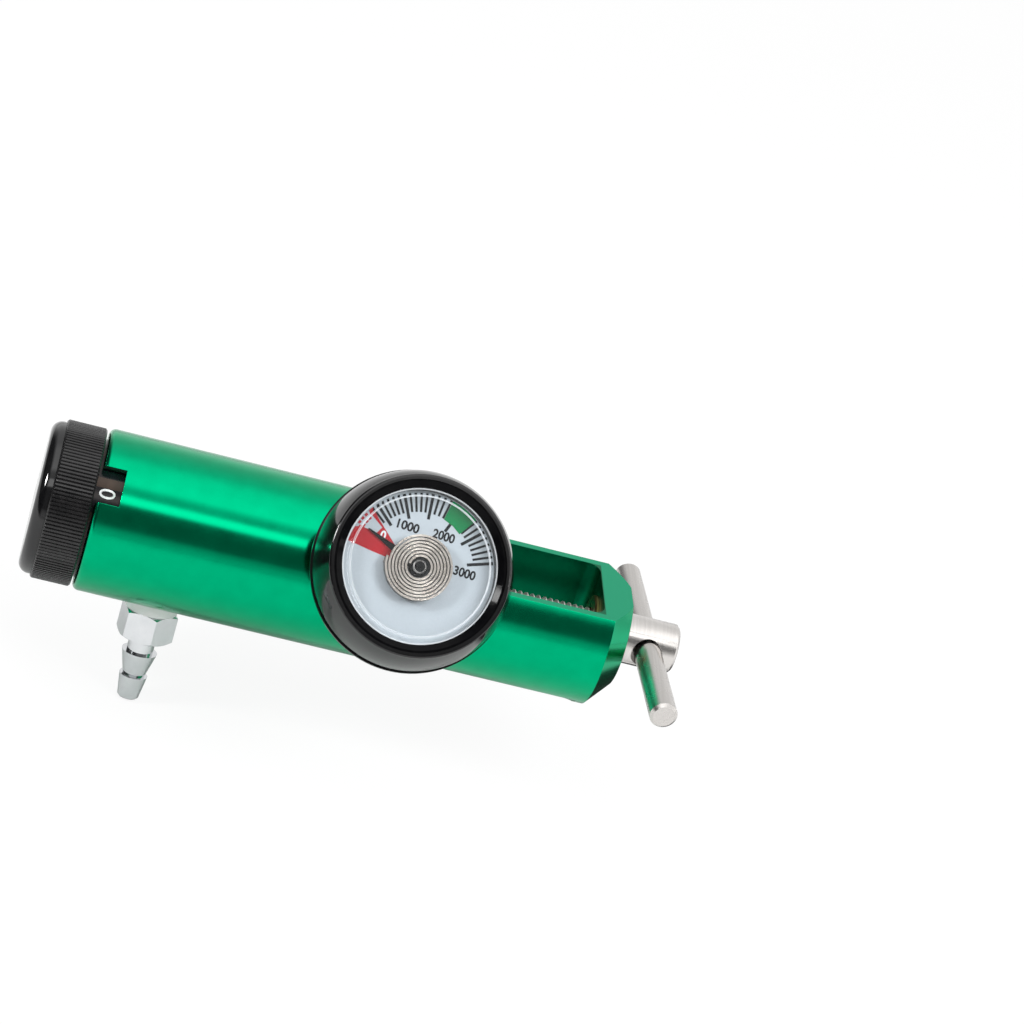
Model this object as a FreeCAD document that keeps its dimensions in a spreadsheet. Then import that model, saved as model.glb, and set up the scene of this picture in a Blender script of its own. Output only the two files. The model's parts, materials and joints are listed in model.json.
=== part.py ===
import FreeCAD, Part
import math
import os

import Sketcher

# Pin-index yoke oxygen regulator, in millimetres.
# The X axis is the axis of the turned body: the selector knob is at -X and the clamping screw at +X.
# The origin is the middle of the yoke's seat face, Z runs along the yoke slot and the gauge faces -Y.

doc = FreeCAD.newDocument("oxygen_regulator")
sheet = doc.addObject("Spreadsheet::Sheet", "dim")
sizes = {
    # Turned body
    "barrelDia": 38.1,  # outside diameter of the barrel
    "coreLen": 30,  # length of the core, from the seat face back to the piston chamber
    "pistonChamberLen": 22,  # length of the piston chamber
    "chamberDepth": 29,  # depth of the selector chamber, from the open end
    "seatOffset": 1,  # distance from the barrel's shoulder to the yoke's seat face
    "endRound": 1.5,  # round on the barrel's open end
    "edgeBreak": 0.4,  # small turned chamfer
    "yokeStep": 1.55,  # step from the barrel down to the yoke
    "noseWall": 2.3,  # wall between the slot and the nose chamfer
    "noseLen": 5,  # length of the nose chamfer
    "noseDrop": 5.6,  # step from the yoke down to the nose end
    "flatHeight": 11.1,  # height of the milled flat above the axis
    "slotLen": 39,  # length of the yoke slot
    "slotWidth": 23,  # width of the yoke slot
    "slotCorner": 3.2,  # corner radius of the yoke slot
    "windowAngle": 47.5,  # angle of the number window above the front
    "windowWidth": 8.9,  # width of the number window round the barrel
    "windowLen": 5.4,  # length of the number window along the barrel
    "ventDia": 2,  # vent hole of the spring chamber
    "ventInset": 8,  # distance of the vent hole from the piston chamber's floor
    # Bores of the body
    "chamberWall": 2.55,  # wall of the barrel round the selector chamber
    "pistonStep": 3,  # step from the selector chamber down to the piston chamber
    "sleeveDia": 18,  # outside diameter of the brass sleeve
    "seatFit": 0.05,  # radial clearance of parts that are pressed or screwed together
    "runFit": 0.06,  # radial running clearance of shafts and pistons
    "faceGap": 0.3,  # clearance between faces that move past each other
    # Yoke inlet
    "nippleDia": 6.1,  # outside diameter of the inlet nipple
    "nippleOut": 4.6,  # length of the nipple beyond the seat face
    "nippleThreadDia": 9,  # thread diameter of the nipple
    "nippleThreadLen": 5,  # thread length of the nipple
    "nippleBore": 3,  # bore of the nipple
    "filterRecess": 0.6,  # depth of the filter below the nipple's end
    "washerDia": 14,  # outside diameter of the yoke washer
    "washerBore": 7,  # bore of the yoke washer
    "washerThick": 2.4,  # thickness of the yoke washer
    "pinDia": 3.97,  # diameter of an index pin
    "pinShankDia": 3.6,  # diameter of the pin's pressed shank
    "pinOut": 6,  # length of an index pin beyond the seat face
    "pinDepth": 6,  # depth of an index pin's hole
    "pinCircle": 14.29,  # distance of the index pins from the axis
    "pinAngle": 18,  # angle of each index pin from the lower centreline
    "pinTip": 0.6,  # chamfer on an index pin's end
    # High-pressure core
    "stemDia": 8,  # diameter of the piston's stem
    "nozzleBack": 19.6,  # distance from the seat face back to the nozzle's tip
    "nozzleLen": 2.4,  # height of the nozzle
    "nozzleTipDia": 2.6,  # diameter of the nozzle's tip
    "nozzleFootDia": 4.6,  # diameter of the nozzle's foot
    "nozzleBore": 1.2,  # bore of the nozzle
    "highPressureBack": 14,  # distance from the seat face back to the high-pressure chamber
    "highPressureDia": 7,  # diameter of the high-pressure chamber
    # Piston
    "pistonTravel": 0.8,  # travel of the piston
    "pistonHeadLen": 5,  # length of the piston's head
    "headSpace": 4,  # length of the low-pressure space behind the piston's head
    "pistonBoreDia": 2,  # hollow of the piston's stem
    "softSeatDia": 4.6,  # diameter of the soft seat
    "softSeatLen": 2,  # length of the soft seat
    "ringWire": 1.6,  # section of the piston's O-rings
    "springWire": 1.8,  # wire of the main spring
    "springInset": 4.3,  # distance of the spring's mean circle inside the piston chamber's wall
    "springTurns": 4,  # turns of the main spring
    "springRelief": 0.1,  # gap left between spring and head at full travel
    # Flow selector
    "dividerThick": 3,  # thickness of the divider plate
    "orificeThick": 3,  # thickness of the orifice plate
    "orificeRim": 4,  # rim of the orifice plate outside the circle of orifices
    "orificeCircle": 8.5,  # radius of the circle of orifices
    "orificeFirst": 0.4,  # diameter of the smallest orifice
    "orificeStep": 0.14,  # growth from one orifice to the next
    "settings": 12,  # settings of the selector
    "faceRingDia": 4.4,  # mean diameter of the face seal
    "faceRingWire": 1,  # section of the face seal
    "spindleDia": 6,  # diameter of the spindle
    "nutLen": 6,  # length of the closing nut's thread
    "knobGap": 0.6,  # gap between knob and body
    "knobStep": 0.4,  # step from the barrel down to the knurled ring
    "knobLen": 9.3,  # length of the knurled ring
    "webStart": 2.9,  # distance from the knob's right face to its web
    "webThick": 4.4,  # thickness of the knob's web
    "ribCount": 132,  # ribs of the knurl
    "ribDepth": 0.32,  # depth of the knurl
    "ribMouth": 0.56,  # width of a knurl groove at the surface
    "capStep": 0.75,  # step from the knurled ring down to the end cap
    "capLen": 3.2,  # length of the end cap
    "capRound": 2.6,  # edge radius of the end cap
    "capDome": 0.3,  # rise of the end cap's face
    "capWall": 1.6,  # wall of the end cap
    "numberMargin": 0.4,  # reach of the number ring past the window
    "numberWall": 2.2,  # wall of the number ring
    "knobScrewHeadDia": 5.6,  # head of the knob's screw
    "knobScrewHeadLen": 1.4,  # height of the knob screw's head
    "knobScrewDia": 3,  # thread of the knob's screw
    "knobScrewLen": 6,  # thread length of the knob's screw
    "ballDia": 2.4,  # detent ball
    "ballShow": 0.3,  # height of the detent ball above the closing nut
    "ballCircle": 9,  # radius of the detent circle
    "dimpleDepth": 0.5,  # depth of a detent dimple
    "detentWire": 0.5,  # wire of the detent spring
    "detentTurns": 4,  # turns of the detent spring
    "detentHole": 7,  # depth of the detent's hole
    # Hose barb
    "barbInset": 9.8,  # distance from the divider's shoulder back to the barb's axis
    "barbTilt": 9,  # lean of the barb from straight down towards the front
    "barbSeatDepth": 1.05,  # depth of the barb's spot face
    "barbWasherDia": 12.4,  # diameter of the white washer
    "barbWasherThick": 2.5,  # thickness of the white washer
    "barbHexFlats": 12,  # hex across flats
    "barbHexLen": 7.1,  # length of the hex
    "barbHexChamfer": 0.56,  # length of the chamfer at each end of the hex
    "barbHexTurn": 15.4,  # turn of the hex about the barb's axis
    "barbThreadDia": 8,  # thread of the barb
    "barbBore": 3.2,  # bore of the barb
    "barbNeckDia": 6.3,  # neck below the hex
    "barbNeckLen": 3.9,  # length of the neck
    "barbRidgeDia": 8.4,  # diameter of the first ridge
    "barbRidgeLen": 6.1,  # length of the first ridge
    "barbWaistDia": 5.2,  # small end of the first ridge
    "barbTipRidgeDia": 6.7,  # diameter of the second ridge
    "barbTipLen": 5.8,  # length of the second ridge
    "barbTipDia": 5.1,  # diameter of the barb's end
    # Contents gauge
    "gaugeBack": 8.8,  # distance from the seat face back to the gauge's axis
    "gaugeTilt": 36,  # lean of the gauge upwards from the front
    "gaugeStand": 3.95,  # distance from the barrel to the case's rear face
    "gaugeDeep": 16.4,  # depth of the case from its rear face to its front rim
    "gaugeDia": 46.2,  # widest diameter of the case
    "caseDish": 6.1,  # step from the widest place in to the rear face
    "caseFlareBack": 13.1,  # distance from the front rim back to the widest place
    "caseLip": 1.2,  # width of the lip at the widest place
    "caseLipStep": 0.35,  # height of that lip
    "caseTaper": 2.5,  # step from the widest place in to the front rim
    "caseBulge": 34,  # radius of the case's curved wall
    "caseRound": 0.6,  # round of the front rim
    "rimWall": 1.2,  # wall of the front rim
    "caseFloor": 1.6,  # thickness of the case's rear wall
    "dialShelf": 5.6,  # distance from the front rim back to the dial's shelf
    "shelfWidth": 1.9,  # width of the dial's shelf
    "dialThick": 0.6,  # thickness of the dial
    "bezelWall": 1.8,  # wall of the bezel round the lens
    "lensSeat": 0.3,  # width of the ledge under the lens
    "bezelTop": 0.4,  # distance from the front rim back to the bezel's edge
    "bezelFlat": 0.5,  # width of the bezel's top edge
    "lensBack": 2,  # distance from the front rim back to the lens's rear face
    "lensEdge": 0.8,  # thickness of the lens at its edge
    "lensThick": 1.3,  # thickness of the lens in the middle
    "lensStep": 1.2,  # width of the lens's lower edge
    "lensBevel": 0.7,  # width of the bevel round the raised middle
    "socketThreadDia": 9.8,  # thread of the gauge's socket
    "socketHexFlats": 11,  # hex of the gauge's socket across flats
    "socketNeckDia": 6,  # neck of the socket inside the case
    "socketBore": 2,  # bore of the socket
    "socketEnd": 1,  # distance from the socket's end to the dial
    "coilTurns": 7,  # turns of the pressure coil
    "coilRoom": 0.15,  # gap between the pointer spindle's cap and the coil
    "coilPitch": 0.75,  # pitch of the pressure coil
    "coilStrip": 0.5,  # thickness of the coil's flattened tube
    "coilHeight": 1.9,  # height of the coil's flattened tube
    "coilLift": 0.7,  # gap between dial and coil
    "coilEndAngle": 174,  # angle of the coil's outer end on the dial
    "pointerReach": 14.1,  # length of the pointer from its centre
    "pointerRoot": 2.7,  # width of the pointer at its boss
    "pointerTip": 0.25,  # width of the pointer at its tip
    "pointerThick": 0.2,  # thickness of the pointer
    "pointerLift": 0.25,  # gap between dial and pointer
    "pointerBoss": 4.4,  # diameter of the pointer's boss
    "pointerRest": 155,  # angle of the pointer on the dial at zero
    "spindleCapDia": 3.9,  # diameter of the pointer spindle's cap
    "spindlePinDia": 3,  # diameter of the pin on the cap
    "spindlePinEdge": 0.25,  # chamfer round the pin
    "spindlePinUp": 0.25,  # height of the pin above the coil
    "spindleShaftDia": 2.4,  # diameter of the pointer's spindle in the dial
    "spindleDown": 3,  # length of the pointer's spindle below the dial
    # Clamping screw
    "bushFlangeStep": 1.1,  # step from the bush's shank out to its flange
    "bushFlangeLen": 0.9,  # thickness of the bush's flange
    "bushWall": 2,  # wall of the bush round the screw
    "screwDia": 10,  # diameter of the clamping screw
    "screwTipOut": 9,  # distance from the seat face to the screw's tip
    "screwTipDia": 2,  # blunt end of the screw's point
    "screwTipLen": 3.4,  # length of the screw's point
    "screwHeadGap": 0.5,  # gap between nose and screw head
    "screwHeadDia": 12,  # diameter of the screw's head
    "screwHeadLen": 13.2,  # length of the screw's head
    "screwHeadEdge": 0.7,  # chamfer of the screw's head
    "barCentre": 6.1,  # distance from the head's inner face to the cross hole
    "barPlay": 0.5,  # radial play of the bar in the cross hole
    "barDia": 6.5,  # diameter of the cross bar
    "barLen": 64,  # length of the cross bar
    "barEdge": 0.7,  # chamfer of the cross bar's ends
    "barLean": 4.2,  # lean of the loose bar in its hole
    "clipInset": 0.8,  # distance from the screw's point to the clip's groove
    "clipGroove": 1,  # width of the clip's groove
    "clipGrooveDepth": 0.75,  # depth of the clip's groove
    "clipThick": 0.8,  # thickness of the clip
    "clipStep": 1.45,  # step from the screw out to the clip's edge
    "clipMouth": 4,  # mouth of the split clip
}
for row, (alias, number) in enumerate(sizes.items(), 1):
    sheet.set(f"A{row}", alias)
    sheet.set(f"B{row}", str(number))
    sheet.setAlias(f"B{row}", alias)
doc.recompute()

# Places worked out from the sizes above
chamberEnd = "(-dim.coreLen - dim.pistonChamberLen)"
bodyLeft = f"({chamberEnd} - dim.chamberDepth)"
yokeRadius = "(dim.barrelDia / 2 - dim.yokeStep)"
chamberRadius = "(dim.barrelDia / 2 - dim.chamberWall)"
pistonRadius = f"({chamberRadius} - dim.pistonStep)"
noseStart = "(dim.slotLen + dim.noseWall)"
noseEnd = f"({noseStart} + dim.noseLen)"
dividerLeft = f"({chamberEnd} - dim.dividerThick)"
orificeRight = f"({dividerLeft} - dim.faceGap)"
orificeLeft = f"({orificeRight} - dim.orificeThick)"
knobRight = f"({bodyLeft} - dim.knobGap)"
knobLeft = f"({knobRight} - dim.knobLen)"
knobRadius = "(dim.barrelDia / 2 - dim.knobStep)"
capRadius = f"({knobRadius} - dim.capStep)"
webRight = f"({knobRight} - dim.webStart)"
webLeft = f"({webRight} - dim.webThick)"
numberOuter = f"({chamberRadius} - dim.faceGap)"
numberInner = f"({numberOuter} - dim.numberWall)"
numberRight = f"({bodyLeft} + dim.windowLen + dim.numberMargin)"
nutCollar = f"({numberRight} + 2 * dim.faceGap)"
nutHub = f"({numberInner} - 2 * dim.faceGap)"
nutLeft = f"({webRight} + 2 * dim.faceGap)"
nutRight = f"({nutCollar} + dim.nutLen)"
pistonHeadLeft = f"({chamberEnd} + dim.headSpace)"
pistonHeadRight = f"({pistonHeadLeft} + dim.pistonHeadLen)"
springLeft = f"({pistonHeadRight} + dim.pistonTravel + dim.springRelief)"
seatRight = "(-dim.nozzleBack - dim.pistonTravel - dim.runFit)"
screwHeadLeft = f"({noseEnd} + dim.screwHeadGap)"
screwHeadRight = f"({screwHeadLeft} + dim.screwHeadLen)"
barPlace = f"({screwHeadLeft} + dim.barCentre)"
barHole = "(dim.barDia / 2 + dim.barPlay)"
clipLeft = "(dim.screwTipOut + dim.screwTipLen + dim.clipInset)"
bushShank = "(dim.screwDia / 2 + dim.bushWall)"
bushFlange = f"({bushShank} + dim.bushFlangeStep)"
gaugeRear = "(dim.barrelDia / 2 + dim.gaugeStand)"
gaugeRim = f"({gaugeRear} + dim.gaugeDeep)"
caseFront = "(dim.gaugeDia / 2 - dim.caseTaper)"
rimInner = f"({caseFront} - dim.rimWall)"
lensPocket = f"({rimInner} - dim.bezelWall)"
dialShow = f"({lensPocket} - dim.lensSeat)"
coilInner = "(dim.spindleCapDia / 2 + dim.coilRoom)"
dialFront = f"({gaugeRim} - dim.dialShelf + dim.dialThick)"
coilRear = f"({dialFront} + dim.coilLift)"
coilFront = f"({coilRear} + dim.coilHeight)"
pointerRear = f"({dialFront} + dim.pointerLift)"
barbAlong = f"({chamberEnd} - dim.barbInset)"
barbSeat = "(dim.barrelDia / 2 - dim.barbSeatDepth)"
hexTop = f"({barbSeat} + dim.barbWasherThick)"
hexEnd = f"({hexTop} + dim.barbHexLen)"
neckEnd = f"({hexEnd} + dim.barbNeckLen)"
ridgeEnd = f"({neckEnd} + dim.barbRidgeLen)"
barbEnd = f"({ridgeEnd} + dim.barbTipLen)"

# A gauge piece is modelled along its own X axis, which this turns to the gauge's direction.
gaugePlace = (
    "placement(vector(-dim.gaugeBack; 0; 0); "
    "rotation(vector(1; 0; 0); -dim.gaugeTilt) * rotation(vector(0; 0; 1); -90))"
)
# The same for the hose barb, which points down.
barbPlace = (
    f"placement(vector({barbAlong}; 0; 0); "
    "rotation(vector(1; 0; 0); -dim.barbTilt) * rotation(vector(0; 1; 0); 90))"
)


def value(expression):
    return float(FreeCAD.Units.Quantity(str(sheet.evalExpression(expression))).Value)


def outline(body, name, points, plane="XY_Plane", offset=None):
    """A closed sketch whose corners are bound to the sheet.

    Each point is two expressions, and a third one makes the edge that leaves it an arc of that
    radius: positive bulges to the right of the direction of travel, negative to the left.
    """
    sketch = body.newObject("Sketcher::SketchObject", name)
    base = [f for f in body.Origin.OriginFeatures if f.Role == plane][0]
    sketch.AttachmentSupport = [(base, "")]
    sketch.MapMode = "FlatFace"
    if offset:
        sketch.setExpression("AttachmentOffset", offset)
    corners = [FreeCAD.Vector(value(p[0]), value(p[1]), 0) for p in points]
    count = len(points)
    ends = []
    for i, point in enumerate(points):
        start, end = corners[i], corners[(i + 1) % count]
        if len(point) < 3:
            sketch.addGeometry(Part.LineSegment(start, end), False)
            ends.append((1, 2))
            continue
        radius = value(point[2])
        chord = end - start
        side = FreeCAD.Vector(chord.y, -chord.x, 0).normalize() * math.copysign(1, radius)
        sagitta = abs(radius) - math.sqrt(max(radius**2 - (chord.Length / 2) ** 2, 0))
        middle = (start + end) * 0.5 + side * sagitta
        sketch.addGeometry(Part.Arc(start, middle, end), False)
        ends.append((1, 2) if radius > 0 else (2, 1))
    for i in range(count):
        j = (i + 1) % count
        sketch.addConstraint(Sketcher.Constraint("Coincident", i, ends[i][1], j, ends[j][0]))
    for i, point in enumerate(points):
        corner = corners[i]
        for kind, place, number in (("DistanceX", point[0], corner.x), ("DistanceY", point[1], corner.y)):
            at = sketch.addConstraint(Sketcher.Constraint(kind, -1, 1, i, ends[i][0], number))
            sketch.renameConstraint(at, f"{kind}{i}")
            sketch.setExpression(f"Constraints.{kind}{i}", place)
        if len(point) > 2:
            at = sketch.addConstraint(Sketcher.Constraint("Radius", i, abs(value(point[2]))))
            sketch.renameConstraint(at, f"Radius{i}")
            sketch.setExpression(f"Constraints.Radius{i}", f"abs({point[2]})")
    return sketch


def circles(body, name, places, plane="YZ_Plane", offset=None):
    """A sketch of circles, each given by two places and a radius."""
    sketch = body.newObject("Sketcher::SketchObject", name)
    base = [f for f in body.Origin.OriginFeatures if f.Role == plane][0]
    sketch.AttachmentSupport = [(base, "")]
    sketch.MapMode = "FlatFace"
    if offset:
        sketch.setExpression("AttachmentOffset", offset)
    for i, (across, up, radius) in enumerate(places):
        centre = FreeCAD.Vector(value(across), value(up), 0)
        sketch.addGeometry(Part.Circle(centre, FreeCAD.Vector(0, 0, 1), value(radius)), False)
        bindings = (
            ("DistanceX", across, (-1, 1, i, 3, centre.x)),
            ("DistanceY", up, (-1, 1, i, 3, centre.y)),
            ("Radius", radius, (i, value(radius))),
        )
        for kind, expression, data in bindings:
            at = sketch.addConstraint(Sketcher.Constraint(kind, *data))
            sketch.renameConstraint(at, f"{kind}{i}")
            sketch.setExpression(f"Constraints.{kind}{i}", expression)
    return sketch


def piece(label):
    body = doc.addObject("PartDesign::Body", label)
    body.Label = label
    return body


def turned(label, points, place=None):
    """A piece turned about its own X axis from a profile of (along, radius) corners."""
    body = piece(label)
    sketch = outline(body, f"{label}_profile", points)
    turn = body.newObject("PartDesign::Revolution", f"{label}_turning")
    turn.Profile = sketch
    turn.ReferenceAxis = (sketch, ["H_Axis"])
    turn.Angle = 360
    if place:
        body.setExpression("Placement", place)
    doc.recompute()
    return body


def cut(body, sketch, depth=None, outward=False, both=False):
    """A pocket from a sketch: through all, or to a depth given as an expression."""
    pocket = body.newObject("PartDesign::Pocket", f"{sketch.Name}_cut")
    pocket.Profile = sketch
    pocket.Reversed = outward
    if both:
        pocket.Midplane = True
    if depth:
        pocket.Type = "Length"
        pocket.setExpression("Length", depth)
    else:
        pocket.Type = "ThroughAll"
    before = body.Shape.Volume
    doc.recompute()
    if not body.Shape.Volume < before - 1e-6:
        raise RuntimeError(f"{sketch.Name} cuts nothing")
    return pocket


def ring_of(body, feature, axis_sketch, count, axis="N_Axis"):
    pattern = body.newObject("PartDesign::PolarPattern", f"{feature.Name}_ring")
    pattern.Originals = [feature]
    pattern.Axis = (axis_sketch, [axis])
    pattern.Angle = 360
    pattern.setExpression("Occurrences", count)
    body.Tip = pattern
    doc.recompute()


def radial(angle_above_front):
    """A sketch plane through the axis whose normal is the given direction round the barrel."""
    return f"placement(vector(0; 0; 0); rotation(vector(1; 0; 0); 90 - ({angle_above_front})))"


def shift(along):
    """Moves a sketch on a YZ plane along X."""
    return f"placement(vector(0; 0; {along}); rotation(vector(0; 0; 1); 0))"


def regulator_body():
    body = turned(
        "regulator_body",
        [
            (bodyLeft, "dim.barrelDia / 2 - dim.endRound", "-dim.endRound"),
            (f"{bodyLeft} + dim.endRound", "dim.barrelDia / 2"),
            ("-dim.seatOffset - dim.edgeBreak", "dim.barrelDia / 2"),
            ("-dim.seatOffset", "dim.barrelDia / 2 - dim.edgeBreak"),
            ("-dim.seatOffset", yokeRadius),
            (noseStart, yokeRadius),
            (noseEnd, f"{yokeRadius} - dim.noseDrop"),
            (noseEnd, f"{bushShank} + dim.seatFit"),
            ("0", f"{bushShank} + dim.seatFit"),
            ("0", "dim.sleeveDia / 2 + dim.seatFit"),
            ("-dim.coreLen", "dim.sleeveDia / 2 + dim.seatFit"),
            ("-dim.coreLen", pistonRadius),
            (chamberEnd, pistonRadius),
            (chamberEnd, chamberRadius),
            (bodyLeft, chamberRadius),
        ],
    )
    slot = [
        ("dim.slotCorner", "-dim.slotWidth / 2"),
        ("dim.slotLen - dim.slotCorner", "-dim.slotWidth / 2", "dim.slotCorner"),
        ("dim.slotLen", "-dim.slotWidth / 2 + dim.slotCorner"),
        ("dim.slotLen", "dim.slotWidth / 2 - dim.slotCorner", "dim.slotCorner"),
        ("dim.slotLen - dim.slotCorner", "dim.slotWidth / 2"),
        ("dim.slotCorner", "dim.slotWidth / 2", "dim.slotCorner"),
        ("0", "dim.slotWidth / 2 - dim.slotCorner"),
        ("0", "-dim.slotWidth / 2 + dim.slotCorner", "dim.slotCorner"),
    ]
    cut(body, outline(body, "yoke_slot", slot), both=True)
    flat = [
        ("-dim.seatOffset", "dim.flatHeight"),
        (f"{noseEnd} + 1", "dim.flatHeight"),
        (f"{noseEnd} + 1", f"{yokeRadius} + 1"),
        ("-dim.seatOffset", f"{yokeRadius} + 1"),
    ]
    cut(body, outline(body, "yoke_flat", flat, "XZ_Plane"), both=True)
    window = [
        (f"{bodyLeft} - 1", "-dim.windowWidth / 2"),
        (f"{bodyLeft} + dim.windowLen", "-dim.windowWidth / 2"),
        (f"{bodyLeft} + dim.windowLen", "dim.windowWidth / 2"),
        (f"{bodyLeft} - 1", "dim.windowWidth / 2"),
    ]
    cut(body, outline(body, "number_window", window, offset=radial("dim.windowAngle")), outward=True)
    port = [("-dim.gaugeBack", "0", "dim.socketThreadDia / 2 + dim.seatFit")]
    cut(body, circles(body, "gauge_port", port, "XY_Plane", radial("dim.gaugeTilt")), outward=True)
    down = radial("dim.barbTilt - 90")
    port = [(barbAlong, "0", "dim.barbThreadDia / 2 + dim.seatFit")]
    cut(body, circles(body, "barb_port", port, "XY_Plane", down), outward=True)
    seat_plane = (
        f"placement(rotation(vector(1; 0; 0); 180 - dim.barbTilt) * vector(0; 0; {barbSeat}); "
        "rotation(vector(1; 0; 0); 180 - dim.barbTilt))"
    )
    seat = [(barbAlong, "0", "dim.barbWasherDia / 2 + dim.faceGap")]
    cut(body, circles(body, "barb_spot_face", seat, "XY_Plane", seat_plane), outward=True)
    pins = [
        (f"{side} * dim.pinCircle * sin(dim.pinAngle * 1 deg)", "-dim.pinCircle * cos(dim.pinAngle * 1 deg)",
         "dim.pinShankDia / 2 + dim.seatFit")
        for side in ("-1", "1")
    ]
    cut(body, circles(body, "pin_holes", pins), "dim.pinDepth")
    vent = [("-dim.coreLen - dim.ventInset", "0", "dim.ventDia / 2")]
    cut(body, circles(body, "vent_hole", vent, "XY_Plane", radial("180")), outward=True)
    return body


def brass_sleeve():
    body = turned(
        "brass_sleeve",
        [
            ("-dim.coreLen", "dim.stemDia / 2 + dim.runFit"),
            ("-dim.coreLen", "dim.sleeveDia / 2"),
            ("0", "dim.sleeveDia / 2"),
            ("0", "dim.nippleThreadDia / 2 + dim.seatFit"),
            ("-dim.nippleThreadLen", "dim.nippleThreadDia / 2 + dim.seatFit"),
            ("-dim.nippleThreadLen", "dim.highPressureDia / 2"),
            ("-dim.highPressureBack", "dim.highPressureDia / 2"),
            ("-dim.highPressureBack", "dim.nozzleBore / 2"),
            ("-dim.nozzleBack", "dim.nozzleBore / 2"),
            ("-dim.nozzleBack", "dim.nozzleTipDia / 2"),
            ("-dim.nozzleBack + dim.nozzleLen", "dim.nozzleFootDia / 2"),
            ("-dim.nozzleBack + dim.nozzleLen", "dim.stemDia / 2 + dim.runFit"),
        ],
    )
    port = [("-dim.gaugeBack", "0", "dim.socketBore / 2")]
    cut(body, circles(body, "gauge_feed", port, "XY_Plane", radial("dim.gaugeTilt")), outward=True)
    return body


def inlet_parts():
    turned(
        "inlet_nipple",
        [
            ("-dim.nippleThreadLen", "dim.nippleBore / 2"),
            ("-dim.nippleThreadLen", "dim.nippleThreadDia / 2"),
            ("0", "dim.nippleThreadDia / 2"),
            ("0", "dim.nippleDia / 2"),
            ("dim.nippleOut - dim.edgeBreak", "dim.nippleDia / 2"),
            ("dim.nippleOut", "dim.nippleDia / 2 - dim.edgeBreak"),
            ("dim.nippleOut", "dim.nippleBore / 2"),
        ],
    )
    turned(
        "inlet_filter",
        [
            ("-dim.nippleThreadLen", "0"),
            ("dim.nippleOut - dim.filterRecess", "0"),
            ("dim.nippleOut - dim.filterRecess", "dim.nippleBore / 2 - dim.seatFit"),
            ("-dim.nippleThreadLen", "dim.nippleBore / 2 - dim.seatFit"),
        ],
    )
    turned(
        "seal_washer",
        [
            ("dim.seatFit", "dim.washerBore / 2"),
            ("dim.washerThick", "dim.washerBore / 2"),
            ("dim.washerThick", "dim.washerDia / 2 - dim.edgeBreak"),
            ("dim.washerThick - dim.edgeBreak", "dim.washerDia / 2"),
            ("dim.seatFit + dim.edgeBreak", "dim.washerDia / 2"),
            ("dim.seatFit", "dim.washerDia / 2 - dim.edgeBreak"),
        ],
    )


def index_pins():
    """Two pins whose thinner shanks are pressed into the seat face."""
    solids = []
    for side, sign in (("left", "-1"), ("right", "1")):
        across = f"{sign} * dim.pinCircle * sin(dim.pinAngle * 1 deg)"
        up = "-dim.pinCircle * cos(dim.pinAngle * 1 deg)"
        shank = doc.addObject("Part::Cylinder", f"pin_shank_{side}")
        shank.setExpression("Radius", "dim.pinShankDia / 2")
        shank.setExpression("Height", "dim.pinDepth + dim.seatFit")
        shoulder = doc.addObject("Part::Cylinder", f"pin_shoulder_{side}")
        shoulder.setExpression("Radius", "dim.pinDia / 2")
        shoulder.setExpression("Height", "dim.pinOut - dim.pinTip - dim.seatFit")
        tip = doc.addObject("Part::Cone", f"pin_tip_{side}")
        tip.setExpression("Radius1", "dim.pinDia / 2")
        tip.setExpression("Radius2", "dim.pinDia / 2 - dim.pinTip")
        tip.setExpression("Height", "dim.pinTip")
        starts = (
            (shank, "-dim.pinDepth"),
            (shoulder, "dim.seatFit"),
            (tip, "dim.pinOut - dim.pinTip"),
        )
        for solid, start in starts:
            place = f"placement(vector({start}; {across}; {up}); rotation(vector(0; 1; 0); 90))"
            solid.setExpression("Placement", place)
            solids.append(solid)
    group = doc.addObject("Part::MultiFuse", "index_pins")
    group.Shapes = solids


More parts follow.
